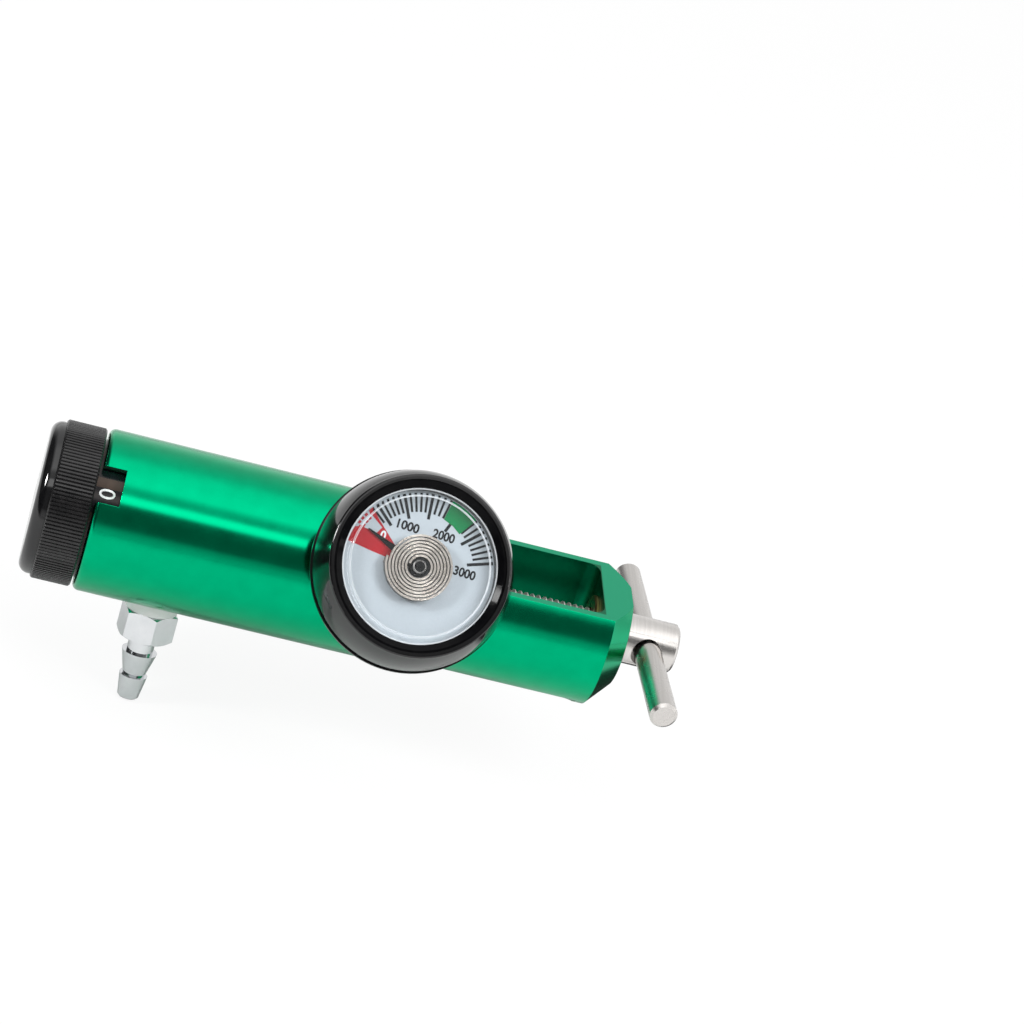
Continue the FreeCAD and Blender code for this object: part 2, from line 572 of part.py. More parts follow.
def reducing_piston():
    groove = "(dim.ringWire / 2)"
    head_middle = f"({pistonHeadLeft} + dim.pistonHeadLen / 2)"
    head_radius = f"({pistonRadius} - dim.runFit)"
    ring_floor = f"({head_radius} - dim.ringWire)"
    stem_groove = "(-dim.coreLen + 2 * dim.ringWire)"
    stem_floor = "(dim.stemDia / 2 - dim.ringWire)"
    turned(
        "piston",
        [
            (pistonHeadLeft, "dim.pistonBoreDia / 2"),
            (pistonHeadLeft, head_radius),
            (f"{head_middle} - {groove} - dim.seatFit", head_radius),
            (f"{head_middle} - {groove} - dim.seatFit", ring_floor),
            (f"{head_middle} + {groove} + dim.seatFit", ring_floor),
            (f"{head_middle} + {groove} + dim.seatFit", head_radius),
            (pistonHeadRight, head_radius),
            (pistonHeadRight, "dim.stemDia / 2"),
            (f"{stem_groove} - {groove} - dim.seatFit", "dim.stemDia / 2"),
            (f"{stem_groove} - {groove} - dim.seatFit", stem_floor),
            (f"{stem_groove} + {groove} + dim.seatFit", stem_floor),
            (f"{stem_groove} + {groove} + dim.seatFit", "dim.stemDia / 2"),
            (seatRight, "dim.stemDia / 2"),
            (seatRight, "dim.softSeatDia / 2 + dim.seatFit"),
            (f"{seatRight} - dim.softSeatLen", "dim.softSeatDia / 2 + dim.seatFit"),
            (f"{seatRight} - dim.softSeatLen", "dim.pistonBoreDia / 2"),
        ],
    )
    turned(
        "piston_seat",
        [
            (f"{seatRight} - dim.softSeatLen + dim.seatFit", "0"),
            (seatRight, "0"),
            (seatRight, "dim.softSeatDia / 2"),
            (f"{seatRight} - dim.softSeatLen + dim.seatFit", "dim.softSeatDia / 2"),
        ],
    )
    rings = []
    seats = (("head_ring", head_middle, ring_floor), ("stem_ring", stem_groove, stem_floor))
    for name, middle, floor in seats:
        ring = doc.addObject("Part::Torus", name)
        ring.setExpression("Radius1", f"{floor} + dim.ringWire / 2")
        ring.setExpression("Radius2", "dim.ringWire / 2 - dim.seatFit")
        place = f"placement(vector({middle}; 0; 0); rotation(vector(0; 1; 0); 90))"
        ring.setExpression("Placement", place)
        rings.append(ring)
    group = doc.addObject("Part::MultiFuse", "piston_rings")
    group.Shapes = rings


def coil_spring(label, start, length, mean_radius, wire, turns, centre_up="0"):
    """A round-wire spring along X between two flat seats."""
    path = doc.addObject("Part::Helix", f"{label}_path")
    path.setExpression("Pitch", f"({length} - {wire}) / ({turns})")
    path.setExpression("Height", f"{length} - {wire}")
    path.setExpression("Radius", mean_radius)
    section = doc.addObject("Part::Circle", f"{label}_section")
    section.setExpression("Radius", f"{wire} / 2")
    place = f"placement(vector({mean_radius}; 0; 0); rotation(vector(1; 0; 0); 90))"
    section.setExpression("Placement", place)
    sweep = doc.addObject("Part::Sweep", label)
    sweep.Sections = [section]
    sweep.Spine = (path, [])
    sweep.Solid = True
    sweep.Frenet = True
    place = f"placement(vector({start} + {wire} / 2; 0; {centre_up}); rotation(vector(0; 1; 0); 90))"
    sweep.setExpression("Placement", place)


def selector_inside():
    turned(
        "divider_plate",
        [
            (dividerLeft, "0"),
            (f"{chamberEnd} - dim.seatFit", "0"),
            (f"{chamberEnd} - dim.seatFit", f"{chamberRadius} - dim.seatFit"),
            (dividerLeft, f"{chamberRadius} - dim.seatFit"),
        ],
    )
    divider = doc.getObject("divider_plate")
    feed = [("0", "dim.orificeCircle", "dim.orificeFirst + dim.orificeStep * dim.settings / 2")]
    cut(divider, circles(divider, "divider_feed", feed), both=True)
    groove = [("0", "dim.orificeCircle", "dim.faceRingDia / 2 + dim.faceRingWire / 2 + dim.seatFit")]
    sketch = circles(divider, "seal_groove", groove, offset=shift(dividerLeft))
    cut(divider, sketch, "dim.faceRingWire - dim.seatFit", outward=True)
    seal = doc.addObject("Part::Torus", "face_seal")
    seal.setExpression("Radius1", "dim.faceRingDia / 2")
    seal.setExpression("Radius2", "dim.faceRingWire / 2 - dim.seatFit")
    middle = f"{dividerLeft} + dim.faceRingWire / 2 - dim.seatFit"
    place = f"placement(vector({middle}; 0; dim.orificeCircle); rotation(vector(0; 1; 0); 90))"
    seal.setExpression("Placement", place)
    turned(
        "orifice_plate",
        [
            (orificeLeft, "dim.spindleDia / 2 + dim.seatFit"),
            (orificeLeft, "dim.orificeCircle + dim.orificeRim"),
            (orificeRight, "dim.orificeCircle + dim.orificeRim"),
            (orificeRight, "dim.spindleDia / 2 + dim.seatFit"),
        ],
    )
    plate = doc.getObject("orifice_plate")
    holes = []
    for step in range(1, int(value("dim.settings"))):
        angle = f"{step} * 360 deg / dim.settings"
        radius = f"(dim.orificeFirst + dim.orificeStep * {step}) / 2"
        holes.append((f"dim.orificeCircle * sin({angle})", f"dim.orificeCircle * cos({angle})", radius))
    cut(plate, circles(plate, "orifices", holes), both=True)
    turned(
        "knob_spindle",
        [
            (webLeft, "dim.knobScrewDia / 2 + dim.seatFit"),
            (webLeft, "dim.spindleDia / 2"),
            (orificeRight, "dim.spindleDia / 2"),
            (orificeRight, "0"),
            (f"{webLeft} + dim.knobScrewLen + dim.seatFit", "0"),
            (f"{webLeft} + dim.knobScrewLen + dim.seatFit", "dim.knobScrewDia / 2 + dim.seatFit"),
        ],
    )
    turned(
        "closing_nut",
        [
            (nutLeft, "dim.spindleDia / 2 + dim.runFit"),
            (nutLeft, nutHub),
            (nutCollar, nutHub),
            (nutCollar, f"{chamberRadius} - dim.seatFit"),
            (nutRight, f"{chamberRadius} - dim.seatFit"),
            (nutRight, "dim.spindleDia / 2 + dim.runFit"),
        ],
    )
    nut = doc.getObject("closing_nut")
    hole = [("0", "dim.ballCircle", "dim.ballDia / 2 + dim.runFit")]
    cut(nut, circles(nut, "detent_hole", hole, offset=shift(nutLeft)), "dim.detentHole", outward=True)
    ball = doc.addObject("Part::Sphere", "detent_ball")
    ball.setExpression("Radius", "dim.ballDia / 2")
    ball_middle = f"({nutLeft} - dim.ballShow + dim.ballDia / 2)"
    place = f"placement(vector({ball_middle}; 0; dim.ballCircle); rotation(vector(0; 1; 0); 90))"
    ball.setExpression("Placement", place)
    spring_start = f"({ball_middle} + dim.ballDia / 2)"
    coil_spring(
        "detent_spring",
        spring_start,
        f"({nutLeft} + dim.detentHole - {spring_start})",
        "(dim.ballDia / 2 - dim.detentWire / 2)",
        "dim.detentWire",
        "dim.detentTurns",
        "dim.ballCircle",
    )


def selector_knob():
    body = turned(
        "knob_ring",
        [
            (webLeft, "dim.spindleDia / 2 + dim.seatFit"),
            (webLeft, f"{capRadius} - dim.capWall"),
            (knobLeft, f"{capRadius} - dim.capWall"),
            (knobLeft, f"{knobRadius} - dim.edgeBreak"),
            (f"{knobLeft} + dim.edgeBreak", knobRadius),
            (f"{knobRight} - dim.edgeBreak", knobRadius),
            (knobRight, f"{knobRadius} - dim.edgeBreak"),
            (knobRight, f"{numberOuter} + dim.seatFit"),
            (webRight, f"{numberOuter} + dim.seatFit"),
            (webRight, "dim.spindleDia / 2 + dim.seatFit"),
        ],
    )
    groove = [
        ("-dim.ribMouth / 2", f"{knobRadius} + dim.seatFit"),
        ("0", f"{knobRadius} - dim.ribDepth"),
        ("dim.ribMouth / 2", f"{knobRadius} + dim.seatFit"),
    ]
    sketch = outline(body, "rib_groove", groove, "YZ_Plane")
    ring_of(body, cut(body, sketch, both=True), sketch, "dim.ribCount")
    dimple = [("0", "dim.ballCircle", "dim.ballDia / 2 + dim.runFit")]
    sketch = circles(body, "detent_dimple", dimple, offset=shift(webRight))
    ring_of(body, cut(body, sketch, "dim.dimpleDepth"), sketch, "dim.settings")
    turned(
        "number_ring",
        [
            (f"{webRight} + dim.seatFit", numberInner),
            (numberRight, numberInner),
            (numberRight, numberOuter),
            (f"{webRight} + dim.seatFit", numberOuter),
        ],
    )
    cap_left = f"({knobLeft} - dim.capLen)"
    turned(
        "knob_cap",
        [
            (f"{cap_left} - dim.capDome", "0"),
            (cap_left, f"{capRadius} - dim.capRound", "-dim.capRound"),
            (f"{cap_left} + dim.capRound", capRadius),
            (f"{knobLeft} - dim.seatFit", capRadius),
            (f"{knobLeft} - dim.seatFit", f"{capRadius} - dim.capWall - dim.seatFit"),
            (f"{webLeft} - dim.seatFit", f"{capRadius} - dim.capWall - dim.seatFit"),
            (f"{webLeft} - dim.seatFit", f"{capRadius} - 2 * dim.capWall"),
            (f"{cap_left} + dim.capWall", f"{capRadius} - 2 * dim.capWall"),
            (f"{cap_left} + dim.capWall", "0"),
        ],
    )
    turned(
        "knob_screw",
        [
            (f"{webLeft} - dim.seatFit - dim.knobScrewHeadLen", "0"),
            (f"{webLeft} - dim.seatFit - dim.knobScrewHeadLen", "dim.knobScrewHeadDia / 2"),
            (f"{webLeft} - dim.seatFit", "dim.knobScrewHeadDia / 2"),
            (f"{webLeft} - dim.seatFit", "dim.knobScrewDia / 2"),
            (f"{webLeft} + dim.knobScrewLen", "dim.knobScrewDia / 2"),
            (f"{webLeft} + dim.knobScrewLen", "0"),
        ],
    )


def hexagon(body, name, across_flats, start, end):
    """Mills six flats on a turned piece between two places along its own X axis."""
    half = f"{across_flats} / 2"
    flat = [
        (start, half),
        (end, half),
        (end, f"{across_flats}"),
        (start, f"{across_flats}"),
    ]
    sketch = outline(body, name, flat)
    ring_of(body, cut(body, sketch, both=True), sketch, "6", "H_Axis")


def outlet():
    corner = "(dim.barbHexFlats / 2 / cos(30 deg))"
    body = turned(
        "outlet_barb",
        [
            (f"{chamberRadius} + dim.faceGap", "dim.barbBore / 2"),
            (f"{chamberRadius} + dim.faceGap", "dim.barbThreadDia / 2"),
            (hexTop, "dim.barbThreadDia / 2"),
            (hexTop, "dim.barbHexFlats / 2"),
            (f"{hexTop} + dim.barbHexChamfer", corner),
            (f"{hexEnd} - dim.barbHexChamfer", corner),
            (hexEnd, "dim.barbHexFlats / 2"),
            (hexEnd, "dim.barbNeckDia / 2"),
            (neckEnd, "dim.barbNeckDia / 2"),
            (neckEnd, "dim.barbRidgeDia / 2"),
            (ridgeEnd, "dim.barbWaistDia / 2"),
            (ridgeEnd, "dim.barbTipRidgeDia / 2"),
            (f"{barbEnd} - dim.edgeBreak", "dim.barbTipDia / 2"),
            (barbEnd, "dim.barbTipDia / 2 - dim.edgeBreak"),
            (barbEnd, "dim.barbBore / 2"),
        ],
        f"placement(vector({barbAlong}; 0; 0); rotation(vector(1; 0; 0); -dim.barbTilt) "
        "* rotation(vector(0; 1; 0); 90) * rotation(vector(1; 0; 0); dim.barbHexTurn))",
    )
    hexagon(body, "barb_hex", "dim.barbHexFlats", hexTop, hexEnd)
    turned(
        "outlet_washer",
        [
            (f"{barbSeat} + dim.seatFit", "dim.barbThreadDia / 2 + dim.seatFit"),
            (f"{barbSeat} + dim.seatFit", "dim.barbWasherDia / 2"),
            (f"{hexTop} - dim.seatFit", "dim.barbWasherDia / 2"),
            (f"{hexTop} - dim.seatFit", "dim.barbThreadDia / 2 + dim.seatFit"),
        ],
        barbPlace,
    )


def gauge_shell():
    flare = f"({gaugeRim} - dim.caseFlareBack)"
    turned(
        "gauge_case",
        [
            (gaugeRear, "dim.socketNeckDia / 2 + dim.seatFit"),
            (gaugeRear, "dim.gaugeDia / 2 - dim.caseDish"),
            (f"{flare} - dim.caseLip", "dim.gaugeDia / 2"),
            (flare, "dim.gaugeDia / 2"),
            (flare, "dim.gaugeDia / 2 - dim.caseLipStep", "-dim.caseBulge"),
            (f"{gaugeRim} - dim.caseRound", caseFront, "-dim.caseRound"),
            (gaugeRim, f"{caseFront} - dim.caseRound"),
            (gaugeRim, rimInner),
            (f"{gaugeRim} - dim.dialShelf", rimInner),
            (f"{gaugeRim} - dim.dialShelf", f"{rimInner} - dim.shelfWidth"),
            (f"{gaugeRear} + dim.caseFloor", f"{rimInner} - dim.shelfWidth"),
            (f"{gaugeRear} + dim.caseFloor", "dim.socketNeckDia / 2 + dim.seatFit"),
        ],
        gaugePlace,
    )
    bezel_outer = f"{rimInner} - dim.seatFit"
    turned(
        "gauge_bezel",
        [
            (f"{dialFront} + dim.seatFit", dialShow),
            (f"{dialFront} + dim.seatFit", bezel_outer),
            (f"{gaugeRim} - dim.bezelTop", bezel_outer),
            (f"{gaugeRim} - dim.bezelTop", f"{bezel_outer} - dim.bezelFlat"),
            (f"{gaugeRim} - dim.lensBack + dim.lensEdge", lensPocket),
            (f"{gaugeRim} - dim.lensBack", lensPocket),
            (f"{gaugeRim} - dim.lensBack", dialShow),
        ],
        gaugePlace,
    )
    lens_rear = f"({gaugeRim} - dim.lensBack + dim.seatFit)"
    turned(
        "gauge_lens",
        [
            (lens_rear, "0"),
            (f"{lens_rear} + dim.lensThick", "0"),
            (f"{lens_rear} + dim.lensThick", f"{lensPocket} - dim.lensStep - dim.lensBevel"),
            (f"{lens_rear} + dim.lensEdge", f"{lensPocket} - dim.lensStep"),
            (f"{lens_rear} + dim.lensEdge", f"{lensPocket} - dim.seatFit"),
            (lens_rear, f"{lensPocket} - dim.seatFit"),
        ],
        gaugePlace,
    )
    turned(
        "gauge_dial",
        [
            (f"{gaugeRim} - dim.dialShelf + dim.seatFit", "dim.spindleShaftDia / 2 + dim.runFit"),
            (f"{gaugeRim} - dim.dialShelf + dim.seatFit", f"{rimInner} - dim.seatFit"),
            (dialFront, f"{rimInner} - dim.seatFit"),
            (dialFront, "dim.spindleShaftDia / 2 + dim.runFit"),
        ],
        gaugePlace,
    )
    body = turned(
        "gauge_socket",
        [
            ("dim.sleeveDia / 2 + dim.faceGap", "dim.socketBore / 2"),
            ("dim.sleeveDia / 2 + dim.faceGap", "dim.socketThreadDia / 2"),
            ("dim.barrelDia / 2 + dim.faceGap", "dim.socketThreadDia / 2"),
            ("dim.barrelDia / 2 + dim.faceGap", "dim.socketHexFlats / 2 / cos(30 deg)"),
            (f"{gaugeRear} - dim.seatFit", "dim.socketHexFlats / 2 / cos(30 deg)"),
            (f"{gaugeRear} - dim.seatFit", "dim.socketNeckDia / 2"),
            (f"{dialFront} - dim.dialThick - dim.socketEnd - dim.spindleDown", "dim.socketNeckDia / 2"),
            (f"{dialFront} - dim.dialThick - dim.socketEnd - dim.spindleDown", "dim.socketBore / 2"),
        ],
        gaugePlace,
    )
    hexagon(
        body,
        "socket_hex",
        "dim.socketHexFlats",
        "dim.barrelDia / 2 + dim.faceGap",
        f"{gaugeRear} - dim.seatFit",
    )


def bourdon_coil():
    """A flattened tube wound in a flat spiral of half circles, with a foot that stands on the dial."""
    turns = round(value("dim.coilTurns"))
    pitch = value("dim.coilPitch")
    inner = value(coilInner)
    strip = value("dim.coilStrip")
    end = math.radians(value("dim.coilEndAngle"))
    base = FreeCAD.Vector(value(coilRear), 0, 0)
    toward = FreeCAD.Vector(0, math.cos(end), math.sin(end))
    across = FreeCAD.Vector(0, -math.sin(end), math.cos(end))

    def wound(offset):
        edges = []
        for half in range(2 * turns):
            way = 1 if half % 2 == 0 else -1
            near = inner + offset + pitch * half / 2
            far = near + pitch / 2
            start = base + toward * (way * near)
            stop = base - toward * (way * far)
            middle = (start + stop) * 0.5 - across * (way * (near + far) / 2)
            edges.append(Part.Arc(start, middle, stop).toShape())
        return edges

    outer_end = inner + pitch * turns
    edges = wound(0) + wound(strip)
    for radius in (inner, outer_end):
        edges.append(Part.makeLine(base + toward * radius, base + toward * (radius + strip)))
    face = Part.Face(Part.Wire(Part.__sortEdges__(edges)))
    coil = face.extrude(FreeCAD.Vector(value("dim.coilHeight"), 0, 0))
    foot = Part.makeBox(value("dim.coilLift") + strip, strip, 3 * strip)
    foot.translate(FreeCAD.Vector(value(dialFront), outer_end, 0))
    foot.rotate(FreeCAD.Vector(0, 0, 0), FreeCAD.Vector(1, 0, 0), math.degrees(end))
    node = doc.addObject("Part::Feature", "bourdon_coil")
    node.Shape = coil.fuse(foot).removeSplitter()
    node.setExpression("Placement", gaugePlace)


def pointer():
    body = piece("gauge_pointer")
    blade = [
        ("0", "-dim.pointerRoot / 2"),
        ("dim.pointerReach", "-dim.pointerTip / 2"),
        ("dim.pointerReach", "dim.pointerTip / 2"),
        ("0", "dim.pointerRoot / 2"),
    ]
    turned_place = f"placement(vector(0; 0; {pointerRear}); rotation(vector(0; 0; 1); dim.pointerRest))"
    sketch = outline(body, "pointer_blade", blade, "YZ_Plane", turned_place)
    pad = body.newObject("PartDesign::Pad", "pointer_blade_pad")
    pad.Profile = sketch
    pad.setExpression("Length", "dim.pointerThick")
    boss = circles(body, "pointer_boss", [("0", "0", "dim.pointerBoss / 2")], offset=shift(pointerRear))
    pad = body.newObject("PartDesign::Pad", "pointer_boss_pad")
    pad.Profile = boss
    pad.setExpression("Length", "dim.pointerThick")
    body.setExpression("Placement", gaugePlace)
    doc.recompute()
    hole = [("0", "0", "dim.spindleShaftDia / 2 + dim.seatFit")]
    cut(body, circles(body, "pointer_hole", hole), both=True)
    turned(
        "pointer_spindle",
        [
            (f"{dialFront} - dim.dialThick - dim.spindleDown", "0"),
            (f"{coilFront} + dim.spindlePinUp", "0"),
            (f"{coilFront} + dim.spindlePinUp", "dim.spindlePinDia / 2 - dim.spindlePinEdge"),
            (coilFront, "dim.spindlePinDia / 2"),
            (coilFront, "dim.spindleCapDia / 2"),
            (f"{pointerRear} + dim.pointerThick + dim.seatFit", "dim.spindleCapDia / 2"),
            (f"{pointerRear} + dim.pointerThick + dim.seatFit", "dim.spindleShaftDia / 2"),
            (f"{dialFront} - dim.dialThick - dim.spindleDown", "dim.spindleShaftDia / 2"),
        ],
        gaugePlace,
    )


def clamping_screw():
    bore = "dim.screwDia / 2 + dim.runFit"
    turned(
        "thread_bush",
        [
            ("dim.slotLen - dim.bushFlangeLen", bore),
            ("dim.slotLen - dim.bushFlangeLen", f"{bushFlange} - dim.edgeBreak"),
            ("dim.slotLen - dim.bushFlangeLen + dim.edgeBreak", bushFlange),
            ("dim.slotLen - dim.seatFit", bushFlange),
            ("dim.slotLen - dim.seatFit", bushShank),
            (noseEnd, bushShank),
            (noseEnd, bore),
        ],
    )
    groove_floor = "dim.screwDia / 2 - dim.clipGrooveDepth"
    body = turned(
        "tee_screw",
        [
            ("dim.screwTipOut", "0"),
            ("dim.screwTipOut", "dim.screwTipDia / 2"),
            ("dim.screwTipOut + dim.screwTipLen", "dim.screwDia / 2"),
            (clipLeft, "dim.screwDia / 2"),
            (clipLeft, groove_floor),
            (f"{clipLeft} + dim.clipGroove", groove_floor),
            (f"{clipLeft} + dim.clipGroove", "dim.screwDia / 2"),
            (screwHeadLeft, "dim.screwDia / 2"),
            (screwHeadLeft, "dim.screwHeadDia / 2"),
            (f"{screwHeadRight} - dim.screwHeadEdge", "dim.screwHeadDia / 2"),
            (screwHeadRight, "dim.screwHeadDia / 2 - dim.screwHeadEdge"),
            (screwHeadRight, "0"),
        ],
    )
    hole = [(barPlace, "0", barHole)]
    cut(body, circles(body, "bar_hole", hole, "XZ_Plane"), both=True)
    turned(
        "tee_bar",
        [
            ("-dim.barLen / 2", "0"),
            ("-dim.barLen / 2", "dim.barDia / 2 - dim.barEdge"),
            ("-dim.barLen / 2 + dim.barEdge", "dim.barDia / 2"),
            ("dim.barLen / 2 - dim.barEdge", "dim.barDia / 2"),
            ("dim.barLen / 2", "dim.barDia / 2 - dim.barEdge"),
            ("dim.barLen / 2", "0"),
        ],
        f"placement(vector({barPlace}; 0; 0); rotation(vector(0; 0; 1); dim.barLean - 90))",
    )
    clip = turned(
        "screw_clip",
        [
            (f"{clipLeft} + (dim.clipGroove - dim.clipThick) / 2", f"{groove_floor} + dim.runFit"),
            (f"{clipLeft} + (dim.clipGroove - dim.clipThick) / 2", "dim.screwDia / 2 + dim.clipStep"),
            (f"{clipLeft} + (dim.clipGroove + dim.clipThick) / 2", "dim.screwDia / 2 + dim.clipStep"),
            (f"{clipLeft} + (dim.clipGroove + dim.clipThick) / 2", f"{groove_floor} + dim.runFit"),
        ],
    )
    mouth = [
        ("-dim.clipMouth / 2", "0"),
        ("dim.clipMouth / 2", "0"),
        ("dim.clipMouth / 2", "dim.screwDia / 2 + 2 * dim.clipStep"),
        ("-dim.clipMouth / 2", "dim.screwDia / 2 + 2 * dim.clipStep"),
    ]
    cut(clip, outline(clip, "clip_mouth", mouth, "YZ_Plane"), both=True)


regulator_body()
brass_sleeve()
inlet_parts()
index_pins()
reducing_piston()
coil_spring(
    "piston_spring",
    springLeft,
    f"(-dim.coreLen - {springLeft})",
    f"({pistonRadius} - dim.springInset)",
    "dim.springWire",
    "dim.springTurns",
)
selector_inside()
selector_knob()
outlet()
gauge_shell()
bourdon_coil()
pointer()
clamping_screw()
doc.recompute()

nodes = [
    "regulator_body", "brass_sleeve", "inlet_nipple", "inlet_filter", "seal_washer", "index_pins",
    "piston", "piston_seat", "piston_rings", "piston_spring", "divider_plate", "face_seal",
    "orifice_plate", "knob_spindle", "knob_screw", "knob_ring", "knob_cap", "number_ring",
    "closing_nut", "detent_ball", "detent_spring", "outlet_barb", "outlet_washer",
    "gauge_socket", "gauge_case", "gauge_bezel", "gauge_lens", "gauge_dial", "bourdon_coil",
    "gauge_pointer", "pointer_spindle", "thread_bush", "tee_screw", "tee_bar", "screw_clip",
]
for item in doc.Objects:
    if "Invalid" in item.State or "Error" in item.State:
        raise RuntimeError(f"{item.Name} is {item.State}")
os.makedirs("parts", exist_ok=True)
for label in nodes:
    node = doc.getObject(label)
    node.Label = label
    if node.Shape.isNull() or not node.Shape.isValid():
        raise RuntimeError(f"{label} has no valid shape")
    node.Shape.exportStep(f"parts/{label}.step")
    print(label, round(node.Shape.Volume, 2), len(node.Shape.Solids))
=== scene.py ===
import json
import math

import bmesh
import bpy
from mathutils import Matrix, Vector


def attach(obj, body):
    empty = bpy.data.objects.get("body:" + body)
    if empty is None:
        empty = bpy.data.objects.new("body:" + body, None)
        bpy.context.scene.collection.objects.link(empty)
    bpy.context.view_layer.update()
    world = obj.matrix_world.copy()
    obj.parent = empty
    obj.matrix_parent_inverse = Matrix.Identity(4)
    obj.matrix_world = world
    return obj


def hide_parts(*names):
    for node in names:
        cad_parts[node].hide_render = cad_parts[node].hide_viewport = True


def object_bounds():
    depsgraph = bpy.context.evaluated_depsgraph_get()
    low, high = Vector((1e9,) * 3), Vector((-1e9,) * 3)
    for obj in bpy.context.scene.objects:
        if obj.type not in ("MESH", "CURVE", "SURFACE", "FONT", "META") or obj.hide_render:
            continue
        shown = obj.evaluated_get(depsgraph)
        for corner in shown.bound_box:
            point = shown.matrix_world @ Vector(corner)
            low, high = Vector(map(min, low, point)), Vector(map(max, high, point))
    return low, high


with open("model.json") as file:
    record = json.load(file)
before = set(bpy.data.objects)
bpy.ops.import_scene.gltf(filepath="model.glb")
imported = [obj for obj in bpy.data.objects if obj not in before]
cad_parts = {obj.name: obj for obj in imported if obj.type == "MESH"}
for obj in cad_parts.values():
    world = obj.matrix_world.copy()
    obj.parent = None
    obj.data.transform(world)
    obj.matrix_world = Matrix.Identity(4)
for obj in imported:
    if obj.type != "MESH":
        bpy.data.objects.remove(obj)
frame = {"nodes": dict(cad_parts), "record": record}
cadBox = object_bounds()
nodes = frame["nodes"]

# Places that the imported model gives, in metres. X runs along the turned body, the gauge leans up from -Y.
gauge = {
    "along": -0.0088,
    "lean": math.radians(36),
    "dial": 0.0344,  # from the body's axis to the face of the dial
}


def gaugeFrame(rise=0.0):
    # turns a drawing on the XY plane to the gauge's dial, with its rise above the dial
    out = Vector((0, -math.cos(gauge["lean"]), math.sin(gauge["lean"])))
    up = Vector((0, math.sin(gauge["lean"]), math.cos(gauge["lean"])))
    side = Vector((1, 0, 0))
    middle = Vector((gauge["along"], 0, 0)) + out * (gauge["dial"] + rise)
    turn = Matrix((side, up, out)).transposed().to_4x4()
    return Matrix.Translation(middle) @ turn


# Materials

def startMaterial(name, values):
    material = bpy.data.materials.new(name)
    material.use_nodes = True
    shader = material.node_tree.nodes["Principled BSDF"]
    for socket, value in values.items():
        shader.inputs[socket].default_value = value
    return material, shader


def addNode(material, kind, values=None, **settings):
    node = material.node_tree.nodes.new(kind)
    for name, value in settings.items():
        setattr(node, name, value)
    for socket, value in (values or {}).items():
        node.inputs[socket].default_value = value
    return node


def link(material, start, end):
    material.node_tree.links.new(start, end)


def place(material):
    return addNode(material, "ShaderNodeTexCoord").outputs["Object"]


def axes(material, vector):
    node = addNode(material, "ShaderNodeSeparateXYZ")
    link(material, vector, node.inputs["Vector"])
    return node.outputs


def vectorMath(material, operation, vector, other=None):
    node = addNode(material, "ShaderNodeVectorMath", operation=operation)
    link(material, vector, node.inputs[0])
    if other:
        node.inputs[1].default_value = other
    return node.outputs


def gaugeRadius(material):
    # distance from the gauge's axis
    mapping = addNode(material, "ShaderNodeMapping", {
        "Location": gaugeFrame().translation, "Rotation": gaugeFrame().to_euler(),
    }, vector_type="TEXTURE")
    link(material, place(material), mapping.inputs["Vector"])
    flat = vectorMath(material, "MULTIPLY", mapping.outputs["Vector"], (1, 1, 0))["Vector"]
    return vectorMath(material, "LENGTH", flat)["Value"]


def noise(material, scale, stretch=(1, 1, 1), detail=2.0, turn=0.0):
    # a noise on the object's own coordinates, whose grain is stretched along the axes
    mapping = addNode(material, "ShaderNodeMapping", {"Scale": stretch, "Rotation": (0, 0, turn)})
    link(material, place(material), mapping.inputs["Vector"])
    texture = addNode(material, "ShaderNodeTexNoise", {"Scale": scale, "Detail": detail})
    link(material, mapping.outputs["Vector"], texture.inputs["Vector"])
    return texture.outputs["Fac"]


grainSpread = (0.3, 0.7)  # nearly all of a noise lies between these


def roughen(material, shader, grain, reach):
    spread = addNode(material, "ShaderNodeMapRange", {
        "From Min": grainSpread[0], "From Max": grainSpread[1], "To Min": reach[0], "To Max": reach[1],
    })
    link(material, grain, spread.inputs["Value"])
    link(material, spread.outputs["Result"], shader.inputs["Roughness"])


def tint(material, shader, grain, colours):
    ramp = addNode(material, "ShaderNodeValToRGB")
    for element, position, colour in zip(ramp.color_ramp.elements, grainSpread, colours):
        element.position = position
        element.color = (*colour, 1)
    link(material, grain, ramp.inputs["Fac"])
    link(material, ramp.outputs["Color"], shader.inputs["Base Color"])
    return ramp.outputs["Color"]


def bump(material, shader, grain, height, strength, under=None):
    node = addNode(material, "ShaderNodeBump", {"Distance": height, "Strength": strength})
    link(material, grain, node.inputs["Height"])
    if under:
        link(material, under, node.inputs["Normal"])
    link(material, node.outputs["Normal"], shader.inputs["Normal"])


def softEdges(material, radius):
    return addNode(material, "ShaderNodeBevel", {"Radius": radius}, samples=4).outputs["Normal"]


def radialSheen(material, shader, axis):
    # the fine turning grooves run round this axis of the piece
    tangent = addNode(material, "ShaderNodeTangent", direction_type="RADIAL", axis=axis)
    link(material, tangent.outputs["Tangent"], shader.inputs["Tangent"])


def compare(material, operation, value, limit):
    node = addNode(material, "ShaderNodeMath", operation=operation)
    link(material, value, node.inputs[0])
    node.inputs[1].default_value = limit
    return node.outputs["Value"]


def multiply(material, first, second):
    node = addNode(material, "ShaderNodeMath", operation="MULTIPLY")
    link(material, first, node.inputs[0])
    link(material, second, node.inputs[1])
    return node.outputs["Value"]


def between(material, value, low, high):
    above = compare(material, "GREATER_THAN", value, low)
    return multiply(material, above, compare(material, "LESS_THAN", value, high))


def blendValue(material, mask, first, second):
    node = addNode(material, "ShaderNodeMix", data_type="FLOAT")
    link(material, mask, node.inputs[0])
    for socket, value in ((node.inputs[2], first), (node.inputs[3], second)):
        if isinstance(value, float):
            socket.default_value = value
        else:
            link(material, value, socket)
    return node.outputs[0]


